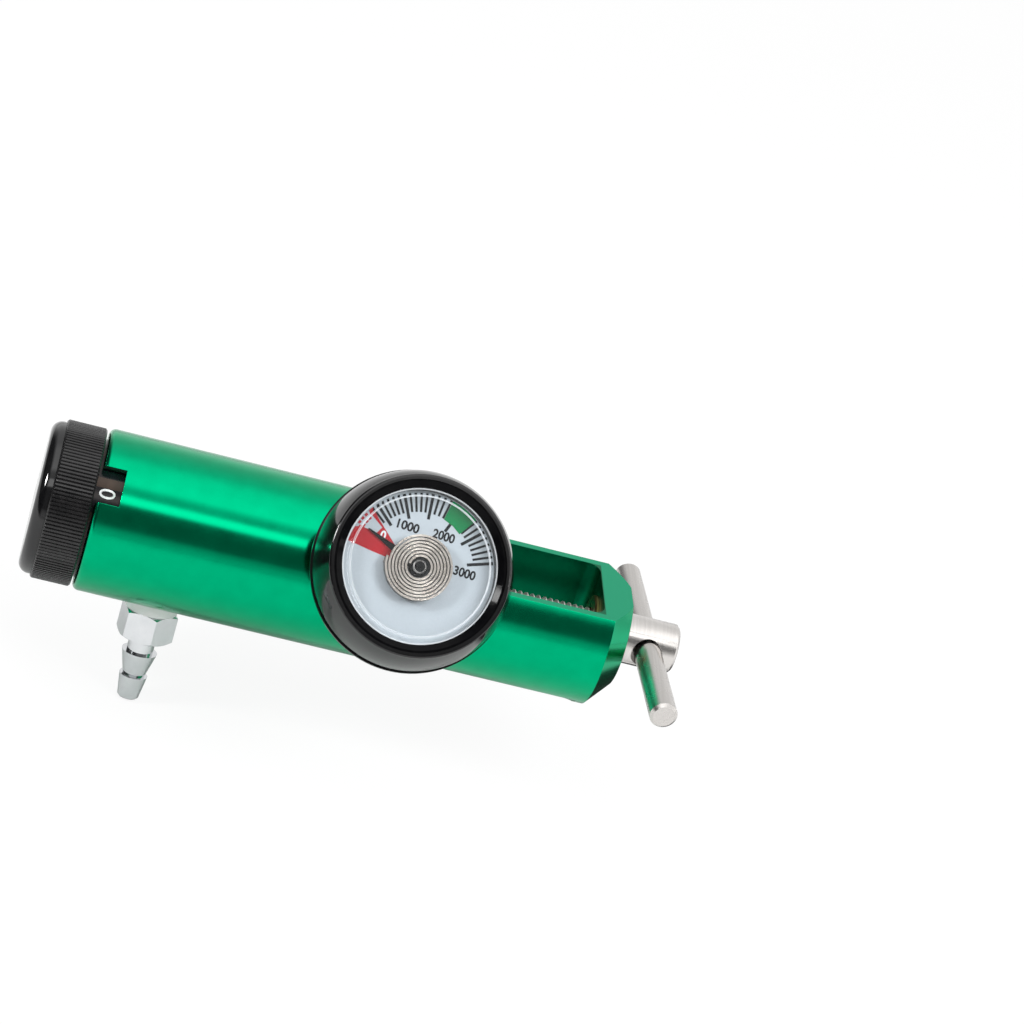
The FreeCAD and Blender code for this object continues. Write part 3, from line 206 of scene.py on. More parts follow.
def blendColour(material, mask, first, second):
    node = addNode(material, "ShaderNodeMix", data_type="RGBA")
    link(material, mask, node.inputs[0])
    for socket, value in ((node.inputs[6], first), (node.inputs[7], second)):
        if isinstance(value, tuple):
            socket.default_value = (*value, 1)
        else:
            link(material, value, socket)
    return node.outputs[2]


def blendShader(material, mask, first, second):
    mix = addNode(material, "ShaderNodeMixShader")
    for socket, start in zip(mix.inputs, (mask, first, second)):
        link(material, start, socket)
    return mix.outputs["Shader"]


def surface(material, shader):
    link(material, shader, material.node_tree.nodes["Material Output"].inputs["Surface"])


anodised = {
    "colours": ((0.0, 0.40, 0.175), (0.0, 0.44, 0.195)),
    "rough": (0.13, 0.19),
    "sheen": 0.45,
    "cloud": 260,
    "rings": (5200, 60, 60),  # turning grooves round the body
    "high": 0.0000022,
    "strength": 0.5,
    "edge": 0.00018,
    "level": 0.97,  # a face this level is milled
    "shoulder": -0.00095,  # the milled flat starts here
    "milled": (0.02, 0.40, 0.21),
    "milledRough": 0.42,
    "cutter": (700, 4200, 700),
    "slotHalf": 0.01155,
    "slotLong": (0.0, 0.0392),
    # painted shade: the slot's inside is drawn darker, for the shade in the recess
    "slotPaintedShade": (0.0, 0.16, 0.07),
    "slotRough": 0.3,
}


def greenAnodised():
    material, shader = startMaterial("greenAnodised", {"Metallic": 1.0, "Anisotropic": anodised["sheen"]})
    radialSheen(material, shader, "X")
    coordinate = addNode(material, "ShaderNodeTexCoord")
    normal = axes(material, coordinate.outputs["Normal"])
    position = axes(material, coordinate.outputs["Object"])
    level = compare(material, "GREATER_THAN", normal["Z"], anodised["level"])
    beyond = compare(material, "GREATER_THAN", position["X"], anodised["shoulder"])
    flat = multiply(material, level, beyond)
    half = compare(material, "ABSOLUTE", position["Y"], 0)
    inner = compare(material, "LESS_THAN", half, anodised["slotHalf"])
    inside = multiply(material, inner, between(material, position["X"], *anodised["slotLong"]))
    rings = noise(material, 1.0, anodised["rings"])
    cutter = noise(material, 1.0, anodised["cutter"])
    cloud = noise(material, anodised["cloud"], detail=4.0)
    smooth, rough = anodised["rough"]
    spread = addNode(material, "ShaderNodeMapRange", {"To Min": smooth, "To Max": rough})
    link(material, cloud, spread.inputs["Value"])
    roughness = blendValue(material, flat, spread.outputs["Result"], anodised["milledRough"])
    link(material, blendValue(material, inside, roughness, anodised["slotRough"]), shader.inputs["Roughness"])
    turned = tint(material, shader, cloud, anodised["colours"])
    colour = blendColour(material, flat, turned, anodised["milled"])
    # painted shade darkens the slot's inside
    link(material, blendColour(material, inside, colour, anodised["slotPaintedShade"]), shader.inputs["Base Color"])
    grain = blendValue(material, flat, rings, cutter)
    edges = softEdges(material, anodised["edge"])
    bump(material, shader, grain, anodised["high"], anodised["strength"], edges)
    return material


turning = {
    "axis": "X",
    "grain": (4200, 70, 70),
    "turn": 0.0,
    "cloud": 110,
    "sheen": 0.6,
    "high": 0.0000012,
    "strength": 0.5,
}
metals = {
    "machinedBrass": {"colours": ((0.27, 0.21, 0.075), (0.33, 0.26, 0.1)), "rough": (0.25, 0.32)},
    "satinStainless": {"colours": ((0.70, 0.67, 0.645), (0.76, 0.735, 0.71)), "rough": (0.2, 0.25)},
    "groundSteel": {"colours": ((0.5, 0.5, 0.5), (0.58, 0.58, 0.57)), "rough": (0.22, 0.3)},
    "turnedAluminium": {"colours": ((0.72, 0.72, 0.73), (0.8, 0.8, 0.81)), "rough": (0.25, 0.33)},
    "groundBar": {
        "colours": ((0.63, 0.605, 0.58), (0.70, 0.675, 0.65)), "rough": (0.24, 0.3),
        "axis": "Y", "grain": (2600, 30, 2600), "turn": math.radians(-4.2),  # the bar leans in its hole
    },
}


def machinedMetal(name):
    metal = {**turning, **metals[name]}
    material, shader = startMaterial(name, {"Metallic": 1.0, "Anisotropic": metal["sheen"]})
    radialSheen(material, shader, metal["axis"])
    grain = noise(material, 1.0, metal["grain"], turn=metal["turn"])
    tint(material, shader, grain, metal["colours"])
    roughen(material, shader, noise(material, metal["cloud"]), metal["rough"])
    bump(material, shader, grain, metal["high"], metal["strength"])
    return material


bronze = {
    "colours": ((0.42, 0.3, 0.16), (0.2, 0.14, 0.07)),
    "rough": 0.6,
    "metal": 0.9,
    "grains": 5200.0,
    "high": 0.00008,
    "strength": 0.8,
}


def sinteredBronze():
    material, shader = startMaterial("sinteredBronze", {
        "Metallic": bronze["metal"], "Roughness": bronze["rough"],
    })
    grains = addNode(material, "ShaderNodeTexVoronoi", {"Scale": bronze["grains"]})
    link(material, place(material), grains.inputs["Vector"])
    tint(material, shader, grains.outputs["Distance"], bronze["colours"])
    bump(material, shader, grains.outputs["Distance"], bronze["high"], bronze["strength"])
    return material


rubber = {
    "colours": ((0.012, 0.012, 0.014), (0.024, 0.024, 0.026)),
    "rough": (0.5, 0.68),
    "gloss": 0.35,
    "grain": 3200,
    "high": 0.00001,
    "strength": 0.4,
}


def sealRubber():
    material, shader = startMaterial("sealRubber", {"Specular IOR Level": rubber["gloss"]})
    grain = noise(material, rubber["grain"], detail=3.0)
    tint(material, shader, grain, rubber["colours"])
    roughen(material, shader, grain, rubber["rough"])
    bump(material, shader, grain, rubber["high"], rubber["strength"])
    return material


plastic = {
    "softSeat": ((0.74, 0.74, 0.72), (0.82, 0.82, 0.8)),
    "whiteNylon": ((0.9, 0.9, 0.89), (0.95, 0.95, 0.94)),
    "rough": (0.32, 0.46),
    "scatter": 0.12,
    "depth": (0.0012, 0.0011, 0.001),
    "grain": 900,
    "high": 0.000012,
    "strength": 0.3,
    "edge": 0.0002,
}


def whitePlastic(name):
    material, shader = startMaterial(name, {
        "Subsurface Weight": plastic["scatter"], "Subsurface Radius": plastic["depth"],
        "Subsurface Scale": 1.0,
    })
    grain = noise(material, plastic["grain"], detail=4.0)
    tint(material, shader, grain, plastic[name])
    roughen(material, shader, grain, plastic["rough"])
    bump(material, shader, grain, plastic["high"], plastic["strength"], softEdges(material, plastic["edge"]))
    return material


knurl = {
    "colours": ((0.003, 0.003, 0.0035), (0.009, 0.0085, 0.009)),
    "rough": (0.2, 0.32),
    "gloss": 0.55,
    "grain": 2600,
    "wear": 420,
    "high": 0.000006,
    "strength": 0.4,
    "edge": 0.00006,
}


def blackKnurl():
    material, shader = startMaterial("blackKnurl", {"Specular IOR Level": knurl["gloss"]})
    grain = noise(material, knurl["grain"], detail=4.0)
    tint(material, shader, noise(material, knurl["wear"], detail=3.0), knurl["colours"])
    roughen(material, shader, grain, knurl["rough"])
    bump(material, shader, grain, knurl["high"], knurl["strength"], softEdges(material, knurl["edge"]))
    return material


shinyBlack = {
    "colours": ((0.0035, 0.0035, 0.004), (0.006, 0.006, 0.0065)),
    "rough": (0.035, 0.07),
    "gloss": 0.6,
    "cloud": 240,
    "middle": 0.0018,  # radius of the place where the cap's dome faces straight out
    "along": -0.094,  # the knob's cap reaches past this place
}


def blackGloss():
    material, shader = startMaterial("blackGloss", {"Specular IOR Level": shinyBlack["gloss"]})
    cloud = noise(material, shinyBlack["cloud"], detail=3.0)
    tint(material, shader, cloud, shinyBlack["colours"])
    roughen(material, shader, cloud, shinyBlack["rough"])
    # the middle of the cap's dome faces straight along the axis
    flat = vectorMath(material, "MULTIPLY", place(material), (0, 1, 1))["Vector"]
    reach = vectorMath(material, "LENGTH", flat)["Value"]
    near = compare(material, "LESS_THAN", reach, shinyBlack["middle"])
    outer = compare(material, "LESS_THAN", axes(material, place(material))["X"], shinyBlack["along"])
    mix = addNode(material, "ShaderNodeMix", data_type="VECTOR")
    link(material, multiply(material, near, outer), mix.inputs[0])
    link(material, addNode(material, "ShaderNodeNewGeometry").outputs["Normal"], mix.inputs[4])
    mix.inputs[5].default_value = (-1, 0, 0)
    link(material, mix.outputs[1], shader.inputs["Normal"])
    return material


bezel = {
    "colours": ((0.002, 0.002, 0.0025), (0.0035, 0.0035, 0.004)),
    "rough": (0.06, 0.11),
    "gloss": 0.06,
    "cloud": 600,
}


def blackBezel():
    material, shader = startMaterial("blackBezel", {"Specular IOR Level": bezel["gloss"]})
    cloud = noise(material, bezel["cloud"], detail=3.0)
    tint(material, shader, cloud, bezel["colours"])
    roughen(material, shader, cloud, bezel["rough"])
    return material


def turnAngle(material, parts):
    # angle round the body's axis, above the front
    angle = addNode(material, "ShaderNodeMath", operation="ARCTAN2")
    link(material, parts["Z"], angle.inputs[0])
    link(material, compare(material, "MULTIPLY", parts["Y"], -1), angle.inputs[1])
    return angle.outputs["Value"]


numberBand = {
    "first": math.radians(42.9),  # the 0 stands here above the front
    "pitch": math.radians(30),
    "radius": 0.0162,
    "along": -0.0787,
    "high": 0.0037,
    "wide": 0.0023,
    "thick": 0.00003,
    "widen": 0.5,  # added width of each further sign, as a share of the first
    "texts": ("0", "1/4", "1/2", "1", "2", "3", "4", "5", "6", "8", "10", "15"),
    "colours": ((0.005, 0.006, 0.008), (0.008, 0.009, 0.012)),
    "rough": (0.13, 0.2),
    "gloss": 0.3,
    "glossTint": (1, 0.9, 0.85, 1),
    "grain": 1500,
    "paintedSheen": (math.radians(4.5), math.radians(13)),  # a painted brown reflection above each number
    "paintedSheenBrown": (0.05, 0.034, 0.026),
}


def numberBandGloss():
    material, shader = startMaterial("numberBandGloss", {
        "Specular IOR Level": numberBand["gloss"], "Specular Tint": numberBand["glossTint"],
    })
    grain = noise(material, numberBand["grain"], detail=3.0)
    angle = turnAngle(material, axes(material, place(material)))
    past = compare(material, "SUBTRACT", angle, numberBand["first"])
    step = compare(material, "FLOORED_MODULO", past, numberBand["pitch"])
    # painted reflection: a brown band above each number
    paintedSheen = between(material, step, *numberBand["paintedSheen"])
    black = tint(material, shader, grain, numberBand["colours"])
    link(material, blendColour(material, paintedSheen, black, numberBand["paintedSheenBrown"]), shader.inputs["Base Color"])
    roughen(material, shader, grain, numberBand["rough"])
    return material


nickel = {
    "colours": ((0.68, 0.70, 0.715), (0.76, 0.775, 0.79)),
    "rough": (0.07, 0.13),
    "wave": 260,
    "high": 0.000008,
    "strength": 0.2,
}


def nickelPlate():
    material, shader = startMaterial("nickelPlate", {"Metallic": 1.0})
    wave = noise(material, nickel["wave"], detail=3.0)
    tint(material, shader, wave, nickel["colours"])
    roughen(material, shader, wave, nickel["rough"])
    bump(material, shader, wave, nickel["high"], nickel["strength"])
    return material


lens = {
    "colour": (0.97, 0.99, 1.0, 1),
    "bend": 1.45,
    "clear": (0.97, 0.985, 1.0, 1),
    "wave": 60,
    "high": 0.00001,
    "strength": 0.05,
    "rings": ((0.0156, 0.0158), (0.0172, 0.01745)),  # painted highlights on the edges of its steps
    "highlightShare": 0.45,
    "highlightColour": (0.8, 0.84, 0.87, 1),
}


def clearLens():
    # clear to the light that falls on the dial, so that the dial isn't dark under it
    material, shader = startMaterial("clearLens", {
        "Base Color": lens["colour"], "Roughness": 0.0, "IOR": lens["bend"], "Transmission Weight": 1.0,
    })
    rays = addNode(material, "ShaderNodeLightPath")
    either = addNode(material, "ShaderNodeMath", operation="MAXIMUM")
    link(material, rays.outputs["Is Shadow Ray"], either.inputs[0])
    link(material, rays.outputs["Is Diffuse Ray"], either.inputs[1])
    clear = addNode(material, "ShaderNodeBsdfTransparent", {"Color": lens["clear"]})
    glass = blendShader(material, either.outputs["Value"], shader.outputs["BSDF"], clear.outputs["BSDF"])
    radius = gaugeRadius(material)
    rings = addNode(material, "ShaderNodeMath", operation="ADD")
    for index, edges in enumerate(lens["rings"]):
        link(material, between(material, radius, *edges), rings.inputs[index])
    # a pale diffuse ring paints the highlights on the steps' edges
    paintedHighlight = addNode(material, "ShaderNodeBsdfDiffuse", {"Color": lens["highlightColour"]})
    share = compare(material, "MULTIPLY", rings.outputs["Value"], lens["highlightShare"])
    surface(material, blendShader(material, share, glass, paintedHighlight.outputs["BSDF"]))
    wave = noise(material, lens["wave"], detail=1.0)
    bump(material, shader, wave, lens["high"], lens["strength"])
    return material


paper = {
    "colours": ((0.475, 0.518, 0.548), (0.51, 0.553, 0.583)),
    "rough": (0.5, 0.62),
    "gloss": 0.3,
    "grain": 2200,
    "high": 0.000004,
    "strength": 0.2,
}


def dialPaper():
    material, shader = startMaterial("dialPaper", {"Specular IOR Level": paper["gloss"]})
    grain = noise(material, paper["grain"], detail=4.0)
    tint(material, shader, grain, paper["colours"])
    roughen(material, shader, grain, paper["rough"])
    bump(material, shader, grain, paper["high"], paper["strength"])
    return material


coil = {
    "colours": ((0.45, 0.40, 0.355), (0.51, 0.46, 0.415)),
    "rough": (0.24, 0.34),
    "sheen": 0.75,
    "grain": 500,
    "front": 0.8,  # a face this much along the gauge is the tube's front
    # painted shade on the tube's walls between the turns
    "side": (0.11, 0.08, 0.06),
}


def coilMetal():
    # bright on the tube's front, with painted shade on its walls between the turns
    material, shader = startMaterial("coilMetal", {"Metallic": 1.0, "Anisotropic": coil["sheen"]})
    grain = noise(material, coil["grain"], detail=3.0)
    coordinate = addNode(material, "ShaderNodeTexCoord")
    out = tuple(gaugeFrame().col[2][:3])
    facing = vectorMath(material, "DOT_PRODUCT", coordinate.outputs["Normal"], out)["Value"]
    front = compare(material, "GREATER_THAN", facing, coil["front"])
    bright = tint(material, shader, grain, coil["colours"])
    # faces off the tube's front get the painted shade colour
    link(material, blendColour(material, front, coil["side"], bright), shader.inputs["Base Color"])
    # the grain runs round the gauge's middle
    middle = tuple(gaugeFrame().translation)
    reach = vectorMath(material, "SUBTRACT", coordinate.outputs["Object"], middle)["Vector"]
    around = vectorMath(material, "CROSS_PRODUCT", reach, out)["Vector"]
    link(material, around, shader.inputs["Tangent"])
    roughen(material, shader, grain, coil["rough"])
    return material


hub = {
    "colours": ((0.002, 0.002, 0.0025), (0.004, 0.004, 0.0045)),
    "rough": (0.18, 0.28),
    "gloss": 0.05,
    "grain": 1400,
    "edge": (0.00121, 0.00152),  # a steel edge stands round the spindle's pin
    "steel": (0.62, 0.6, 0.58),
}


def hubBlack():
    material, shader = startMaterial("hubBlack", {"Specular IOR Level": hub["gloss"]})
    grain = noise(material, hub["grain"], detail=3.0)
    edge = between(material, gaugeRadius(material), *hub["edge"])
    black = tint(material, shader, grain, hub["colours"])
    link(material, blendColour(material, edge, black, hub["steel"]), shader.inputs["Base Color"])
    link(material, edge, shader.inputs["Metallic"])
    roughen(material, shader, grain, hub["rough"])
    return material


inks = {
    "blackInk": ((0.0035, 0.004, 0.005), (0.006, 0.007, 0.009)),
    "redInk": ((0.41, 0.012, 0.02), (0.47, 0.018, 0.026)),
    "greenInk": ((0.0, 0.19, 0.055), (0.0, 0.23, 0.07)),
    "whiteInk": ((0.72, 0.74, 0.76), (0.8, 0.82, 0.84)),
    "ringInk": ((0.75, 0.76, 0.77), (0.85, 0.86, 0.87)),
    "rough": (0.55, 0.65),
    "gloss": 0.08,
    "grain": 3200,
}


def printInk(name):
    material, shader = startMaterial(name, {"Specular IOR Level": inks["gloss"]})
    grain = noise(material, inks["grain"], detail=3.0)
    tint(material, shader, grain, inks[name])
    roughen(material, shader, grain, inks["rough"])
    return material


finishes = {
    "green_anodised": greenAnodised(),
    "brass": machinedMetal("machinedBrass"),
    "sintered_bronze": sinteredBronze(),
    "seal_rubber": sealRubber(),
    "steel": machinedMetal("groundSteel"),
    "screw_steel": machinedMetal("satinStainless"),
    "piston_metal": machinedMetal("turnedAluminium"),
    "soft_seat": whitePlastic("softSeat"),
    "white_plastic": whitePlastic("whiteNylon"),
    "black_knurl": blackKnurl(),
    "black_gloss": blackGloss(),
    "black_ring": numberBandGloss(),
    "black_bezel": blackBezel(),
    "nickel": nickelPlate(),
    "clear_lens": clearLens(),
    "dial_print": dialPaper(),
    "coil_metal": coilMetal(),
    "needle_black": hubBlack(),
}
ownFinish = {"tee_bar": machinedMetal("groundBar")}
for row in frame["record"]["subparts"]:
    mesh = nodes[row["node"]].data
    mesh.materials.clear()
    mesh.materials.append(ownFinish.get(row["node"], finishes[row["material_slot"]]))
print("finishes on the solids")


# Pieces that are drawn here

def meshObject(name, bm, material):
    mesh = bpy.data.meshes.new(name)
    bm.to_mesh(mesh)
    bm.free()
    mesh.materials.append(material)
    piece = bpy.data.objects.new(name, mesh)
    bpy.context.scene.collection.objects.link(piece)
    return piece


def finishPiece(name, bm, material, body):
    piece = meshObject(name, bm, material)
    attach(piece, body)
    return piece


def textMesh(text, high, wide, thick, bold=0.0):
    # a number drawn on the XY plane, centred, at the size given
    curve = bpy.data.curves.new("number", "FONT")
    curve.body = text
    curve.extrude = 0.1  # any depth does, since it is scaled below
    curve.offset = bold
    thing = bpy.data.objects.new("number", curve)
    bpy.context.scene.collection.objects.link(thing)
    bpy.context.view_layer.update()
    mesh = bpy.data.meshes.new_from_object(thing.evaluated_get(bpy.context.evaluated_depsgraph_get()))
    bpy.data.objects.remove(thing)
    low = Vector([min(v.co[i] for v in mesh.vertices) for i in range(3)])
    top = Vector([max(v.co[i] for v in mesh.vertices) for i in range(3)])
    size = top - low
    scale = Matrix.Diagonal((wide / size.x, high / size.y, thick / size.z, 1))
    mesh.transform(scale @ Matrix.Translation(-(low + top) / 2))
    return mesh


def addMesh(bm, mesh, matrix):
    mesh.transform(matrix)
    bm.from_mesh(mesh)
    bpy.data.meshes.remove(mesh)


def addBar(bm, angle, near, far, wide, thick, matrix):
    # a straight stroke that points away from the dial's middle
    turn = Matrix.Rotation(angle, 4, "Z")
    shape = Matrix.Diagonal((far - near, wide, thick, 1))
    middle = Matrix.Translation(((near + far) / 2, 0, 0))
    bmesh.ops.create_cube(bm, size=1, matrix=matrix @ turn @ middle @ shape)


perMetre = 1000  # the fields and numbers of the dial are drawn in millimetres


def addField(bm, corners, thick, matrix):
    # a flat field whose corners are given by radius in millimetres and angle in degrees
    verts = []
    for radius, degrees in corners:
        spot = Matrix.Rotation(math.radians(degrees), 3, "Z") @ Vector((radius / perMetre, 0, 0))
        verts += bmesh.ops.create_vert(bm, co=spot)["vert"]
    face = bm.faces.new(verts)
    raised = bmesh.ops.extrude_face_region(bm, geom=[face])
    top = [item for item in raised["geom"] if isinstance(item, bmesh.types.BMVert)]
    bmesh.ops.translate(bm, verts=top, vec=(0, 0, thick))
    bmesh.ops.transform(bm, verts=verts + top, matrix=matrix)


dial = {
    "ink": 0.00003,  # thickness of the print
    "lift": 0.000002,  # gap between dial and print
    "steps": 30,
    "majorEach": 5,
    "zero": math.radians(158.2),
    "half": math.radians(90.6),
    "full": math.radians(16.7),
    "rim": 0.0168,
    "minor": (0.0125, 0.00052),
    "major": (0.0111, 0.00068),
    "firstBlack": 4,
    "redTicks": (155.2, 151.3, 147.6),
    "redTick": (0.01505, 0.00075),
    "redField": (
        (6.4, 176), (11, 173.8), (15.2, 172.5), (16.8, 172), (16.8, 166), (16.8, 160), (15.35, 156.9),
        (12.05, 153), (11.95, 145), (16.8, 144.2), (16.8, 140.2), (13.5, 142.1), (9.5, 145.3), (6.4, 150.5),
        (6.4, 163),
    ),
    "greenField": (
        (12.4, 74.4), (12.3, 63), (12.1, 51.9), (15.4, 51.9), (16.8, 51.9), (16.8, 57.5), (16.8, 63),
        (16.8, 69), (16.8, 74.6), (15.2, 74.6),
    ),
    "greenTick": (20, 0.0102, 0.0123),
    "numbers": (("1000", 9.5, 115.8), ("2000", 9.26, 63.4), ("3000", 10.61, 7.0)),
    "numberHigh": 0.00215,
    "numberWide": 0.0051,
    "zeroWide": 0.001275,
    "numberTurn": math.radians(-4),
    "bold": 0.032,
    "zeroMark": (10.6, 150.5),
}


def tickAngle(step):
    middle = dial["steps"] / 2
    if step < middle:
        return dial["zero"] + (dial["half"] - dial["zero"]) * step / middle
    return dial["half"] + (dial["full"] - dial["half"]) * (step - middle) / middle


def dialPlace(radius, degrees, rise):
    # a place on the dial for a number that stands upright
    angle = math.radians(degrees)
    reach = radius / perMetre
    spot = Matrix.Translation((reach * math.cos(angle), reach * math.sin(angle), 0))
    return gaugeFrame(rise) @ spot @ Matrix.Rotation(dial["numberTurn"], 4, "Z")


def dialMarks():
    ink = dial["ink"]
    rise = ink / 2 + dial["lift"]
    black = bmesh.new()
    tick, near, far = dial["greenTick"]
    for step in range(dial["firstBlack"], dial["steps"] + 1):
        start, wide = dial["major"] if step % dial["majorEach"] == 0 else dial["minor"]
        end = far if step == tick else dial["rim"]
        addBar(black, tickAngle(step), near if step == tick else start, end, wide, ink, gaugeFrame(rise))
    for text, radius, degrees in dial["numbers"]:
        number = textMesh(text, dial["numberHigh"], dial["numberWide"], ink, dial["bold"])
        addMesh(black, number, dialPlace(radius, degrees, rise))
    red = bmesh.new()
    near, wide = dial["redTick"]
    for degrees in dial["redTicks"]:
        addBar(red, math.radians(degrees), near, dial["rim"], wide, ink, gaugeFrame(rise))
    addField(red, dial["redField"], ink, gaugeFrame(rise - ink / 2))
    green = bmesh.new()
    addField(green, dial["greenField"], ink, gaugeFrame(rise + ink / 2))
    white = bmesh.new()
    number = textMesh("0", dial["numberHigh"], dial["zeroWide"], ink, dial["bold"])
    addMesh(white, number, dialPlace(*dial["zeroMark"], rise + ink))
    marks = (
        ("dialTicks", black, "blackInk"), ("dialRed", red, "redInk"),
        ("dialGreen", green, "greenInk"), ("dialZero", white, "whiteInk"),
    )
    for name, bm, inkName in marks:
        finishPiece(name, bm, printInk(inkName), "root")


def ringNumbers():
    bm = bmesh.new()
    radius = numberBand["radius"] + numberBand["thick"]
    for index, text in enumerate(numberBand["texts"]):
        angle = numberBand["first"] + numberBand["pitch"] * index
        out = Vector((0, -math.cos(angle), math.sin(angle)))
        around = Vector((0, math.sin(angle), math.cos(angle)))
        turn = Matrix((around, Vector((-1, 0, 0)), out)).transposed().to_4x4()
        wide = numberBand["wide"] * (1 + numberBand["widen"] * (len(text) - 1))
        number = textMesh(text, numberBand["high"], wide, numberBand["thick"])
        for vert in number.vertices:  # wraps the number round the ring
            bend = vert.co.x / radius
            reach = radius + vert.co.z
            vert.co.x = reach * math.sin(bend)
            vert.co.z = reach * math.cos(bend)
        addMesh(bm, number, Matrix.Translation((numberBand["along"], 0, 0)) @ turn)
    finishPiece("ringNumbers", bm, printInk("ringInk"), "knob")


thread = {
    "start": 0.0142,  # the clip's groove ends here
    "end": 0.0468,  # the screw's head starts here
    "pitch": 0.0015,
    "crest": 0.00497,
    "root": 0.00412,
    "steps": 40,
    "form": ((0, "root"), (0.12, "root"), (0.47, "crest"), (0.65, "crest"), (1, "root")),  # over one pitch
    "weld": 0.000004,
    "solidWeld": 0.000002,
    "sharp": math.radians(28),
    # painted light: paler than the head, for the light from above on the crests
    "colour": (0.82, 0.775, 0.755),
    "metal": 0.78,
    "rough": 0.33,
}


def threadedSteel():
    # the thread is rougher and less metallic than the head, and painted paler for the light from above on its
    # crests
    material = machinedMetal("satinStainless")
    shader = material.node_tree.nodes["Principled BSDF"]
    cut = compare(material, "LESS_THAN", axes(material, place(material))["X"], thread["end"])
    head = {name: shader.inputs[name].links[0].from_socket for name in ("Base Color", "Roughness")}
    colour = blendColour(material, cut, head["Base Color"], thread["colour"])
    link(material, colour, shader.inputs["Base Color"])
    link(material, blendValue(material, cut, head["Roughness"], thread["rough"]), shader.inputs["Roughness"])
    link(material, blendValue(material, cut, 1.0, thread["metal"]), shader.inputs["Metallic"])
    return material


def cutAcross(bm, along, keepHead):
    # cuts across the screw's axis and keeps the head's side or the other one
    bmesh.ops.bisect_plane(
        bm, geom=[*bm.verts, *bm.edges, *bm.faces], plane_co=(along, 0, 0), plane_no=(1, 0, 0),
        clear_outer=not keepHead, clear_inner=keepHead,
    )


def clampScrew():
    bm = bmesh.new()
    pitch = thread["pitch"]
    first = thread["start"] - pitch
    chain = []
    for share, radius in thread["form"]:
        chain += bmesh.ops.create_vert(bm, co=(first + share * pitch, 0, thread[radius]))["vert"]
    edges = [bm.edges.new(pair) for pair in zip(chain, chain[1:])]
    turns = math.ceil((thread["end"] - first) / pitch) + 1
    bmesh.ops.spin(
        bm, geom=[*chain, *edges], cent=(0, 0, 0), axis=(1, 0, 0), angle=2 * math.pi * turns,
        steps=thread["steps"] * turns, dvec=(pitch / thread["steps"], 0, 0),
    )
    bmesh.ops.remove_doubles(bm, verts=bm.verts, dist=thread["weld"])
    cutAcross(bm, thread["start"], True)
    cutAcross(bm, thread["end"], False)
    for along, keepHead in ((thread["start"], False), (thread["end"], True)):
        # the point and the head come from the solid itself
        solid = bmesh.new()
        solid.from_mesh(nodes["tee_screw"].data)
        bmesh.ops.remove_doubles(solid, verts=solid.verts, dist=thread["solidWeld"])
        cutAcross(solid, along, keepHead)
        part = bpy.data.meshes.new("part")
        solid.to_mesh(part)
        solid.free()
        bm.from_mesh(part)
        bpy.data.meshes.remove(part)
    bmesh.ops.recalc_face_normals(bm, faces=bm.faces)
    piece = finishPiece("clampScrew", bm, threadedSteel(), "clamp_screw")
    piece.data.shade_smooth()
    piece.data.set_sharp_from_angle(angle=thread["sharp"])
    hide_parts("tee_screw")


dialMarks()
print("dial print done")
ringNumbers()
print("ring numbers done")
clampScrew()
print("clamping screw done")


# Floor, light and camera

studio = {
    "floorSize": 8.0,
    "floorShare": 0.86,  # part of the floor's white that stays in the shadow
    "floorWhite": 1.04,
    "floorColour": (0.65, 0.65, 0.65),
    "floorRough": 0.9,
    "floorGloss": 0.1,
    "paintedShadowColour": (0.03, 0.03, 0.03),  # a painted shadow on the floor that only the nose mirrors
    "paintedShadowPlace": (0.082, 0.025, -0.0432),
    "paintedShadowReach": (0.028, 0.038),
    # brightness of the room round the body's axis, by degrees above the front
    "bands": (
        (-90, 0.8), (0, 0.75), (6, 0.6), (12, 0.14), (38, 0.13), (44.7, 0.25), (46.2, 2.4), (56, 2.4),
        (58.3, 0.62), (67, 0.72), (75, 1.75), (92, 1.55), (108, 1.4), (122, 0.9), (150, 0.75), (168, 0.9),
        (180, 0.95),
    ),
    "top": 3.0,
    "keyPlace": (0.55, -0.45, 0.7),
    "keySize": 0.4,
    "keyPower": 6.0,
    "sidePlace": (-0.7, -0.25, 0.45),
    "sideSize": 0.15,
    "sidePower": 4.0,
    "sideDark": (-0.6, -0.3, 0.06),  # the room is dark towards the knob's end
}
view = {
    "place": (-0.10408, -0.63354, 0.3503),
    "turn": (61.957, -16.602, -1.776),
    "lens": 109.76,
    "sensor": 36.0,
    "near": 0.01,
}


def paleFloor():
    material, shader = startMaterial("paleFloor", {
        "Roughness": studio["floorRough"], "Specular IOR Level": studio["floorGloss"],
    })
    rays = addNode(material, "ShaderNodeLightPath")
    # painted shadow behind the part, seen only by glossy rays
    reach = vectorMath(material, "DISTANCE", place(material), studio["paintedShadowPlace"])["Value"]
    start, end = studio["paintedShadowReach"]
    paintedShadow = addNode(material, "ShaderNodeMapRange", {
        "From Min": start, "From Max": end, "To Min": 1.0, "To Max": 0.0,
    })
    link(material, reach, paintedShadow.inputs["Value"])
    mirrored = multiply(material, paintedShadow.outputs["Result"], rays.outputs["Is Glossy Ray"])
    ground = blendColour(material, mirrored, studio["floorColour"], studio["paintedShadowColour"])
    link(material, ground, shader.inputs["Base Color"])
    share = compare(material, "MULTIPLY", rays.outputs["Is Camera Ray"], studio["floorShare"])
    white = addNode(material, "ShaderNodeEmission", {"Strength": studio["floorWhite"]})
    surface(material, blendShader(material, share, shader.outputs["BSDF"], white.outputs["Emission"]))
    return material


def floor():
    bm = bmesh.new()
    bmesh.ops.create_grid(bm, x_segments=1, y_segments=1, size=studio["floorSize"] / 2)
    bmesh.ops.translate(bm, verts=bm.verts, vec=(0, 0, cadBox[0][2]))
    meshObject("floor", bm, paleFloor())


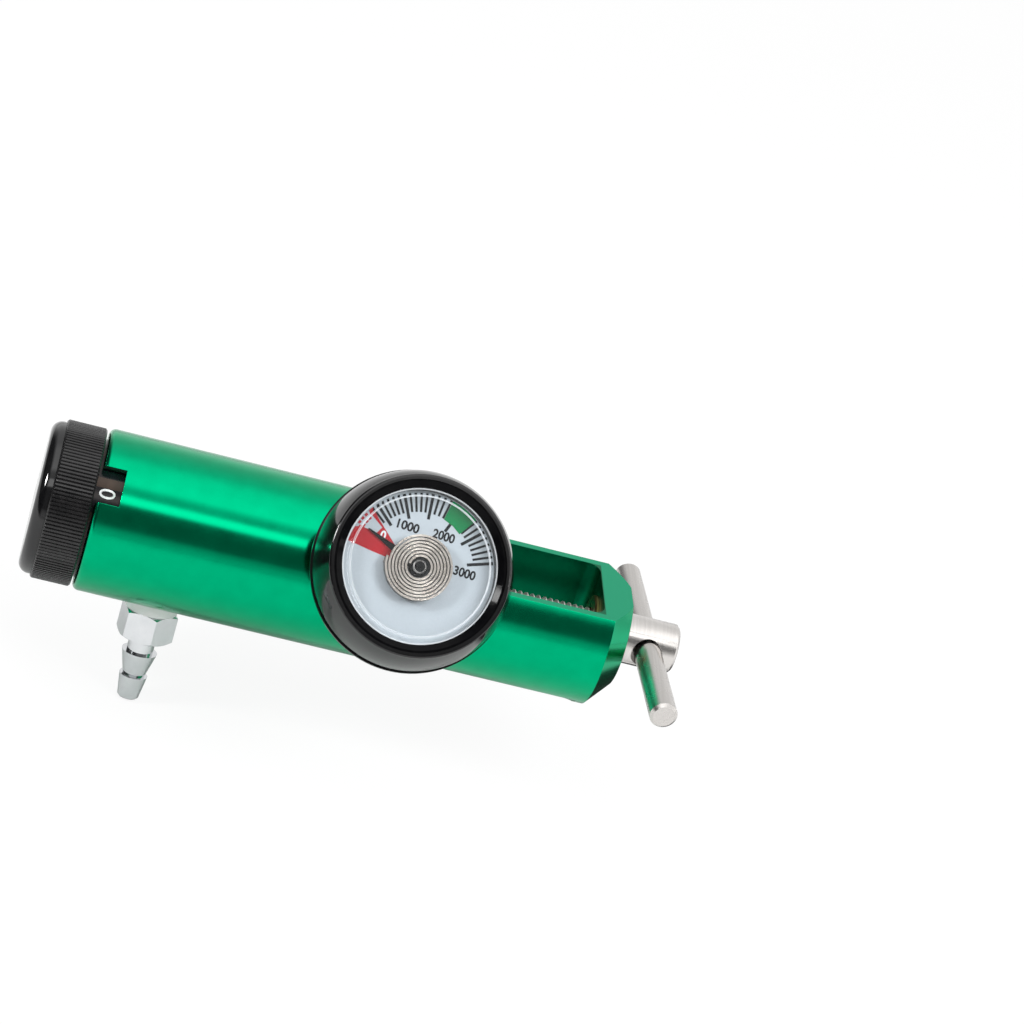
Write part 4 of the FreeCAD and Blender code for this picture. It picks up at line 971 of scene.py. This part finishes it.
def room():
    # a studio room whose soft boxes are bands along the body's axis
    world = bpy.data.worlds.new("studio")
    bpy.context.scene.world = world
    world.use_nodes = True
    back = world.node_tree.nodes["Background"]
    direction = axes(world, addNode(world, "ShaderNodeTexCoord").outputs["Generated"])
    share = addNode(world, "ShaderNodeMapRange", {"From Min": -math.pi, "From Max": math.pi})
    link(world, turnAngle(world, direction), share.inputs["Value"])
    ramp = addNode(world, "ShaderNodeValToRGB")
    elements = ramp.color_ramp.elements
    for index, (degrees, level) in enumerate(studio["bands"]):
        at = (degrees + 180) / 360
        element = elements[index] if index < 2 else elements.new(at)
        element.position = at
        element.color = (*[level / studio["top"]] * 3, 1)
    link(world, share.outputs["Result"], ramp.inputs["Fac"])
    start, end, least = studio["sideDark"]
    shade = addNode(world, "ShaderNodeMapRange", {"From Min": start, "From Max": end, "To Min": least})
    link(world, direction["X"], shade.inputs["Value"])
    bright = compare(world, "MULTIPLY", ramp.outputs["Color"], studio["top"])
    level = multiply(world, bright, shade.outputs["Result"])
    rays = addNode(world, "ShaderNodeLightPath")
    seen = addNode(world, "ShaderNodeMath", operation="MAXIMUM")
    link(world, rays.outputs["Is Camera Ray"], seen.inputs[0])
    link(world, rays.outputs["Is Transmission Ray"], seen.inputs[1])
    link(world, blendValue(world, seen.outputs["Value"], level, 1.0), back.inputs["Strength"])
    back.inputs["Color"].default_value = (1, 1, 1, 1)


def softBox(name, mirrored):
    light = bpy.data.lights.new(name, "AREA")
    light.shape = "SQUARE"
    light.size = studio[name + "Size"]
    light.energy = studio[name + "Power"]
    lamp = bpy.data.objects.new(name, light)
    lamp.visible_glossy = mirrored
    lamp.location = studio[name + "Place"]
    lamp.rotation_euler = (-lamp.location).to_track_quat("-Z", "Y").to_euler()
    bpy.context.scene.collection.objects.link(lamp)


def camera():
    data = bpy.data.cameras.new("camera")
    data.lens = view["lens"]
    data.sensor_width = view["sensor"]
    data.clip_start = view["near"]
    thing = bpy.data.objects.new("camera", data)
    thing.location = view["place"]
    thing.rotation_euler = [math.radians(turn) for turn in view["turn"]]
    bpy.context.scene.collection.objects.link(thing)
    bpy.context.scene.camera = thing


floor()
room()
softBox("key", False)
softBox("side", True)
camera()
bpy.context.scene.view_settings.view_transform = "Standard"
print("floor, light and camera set")
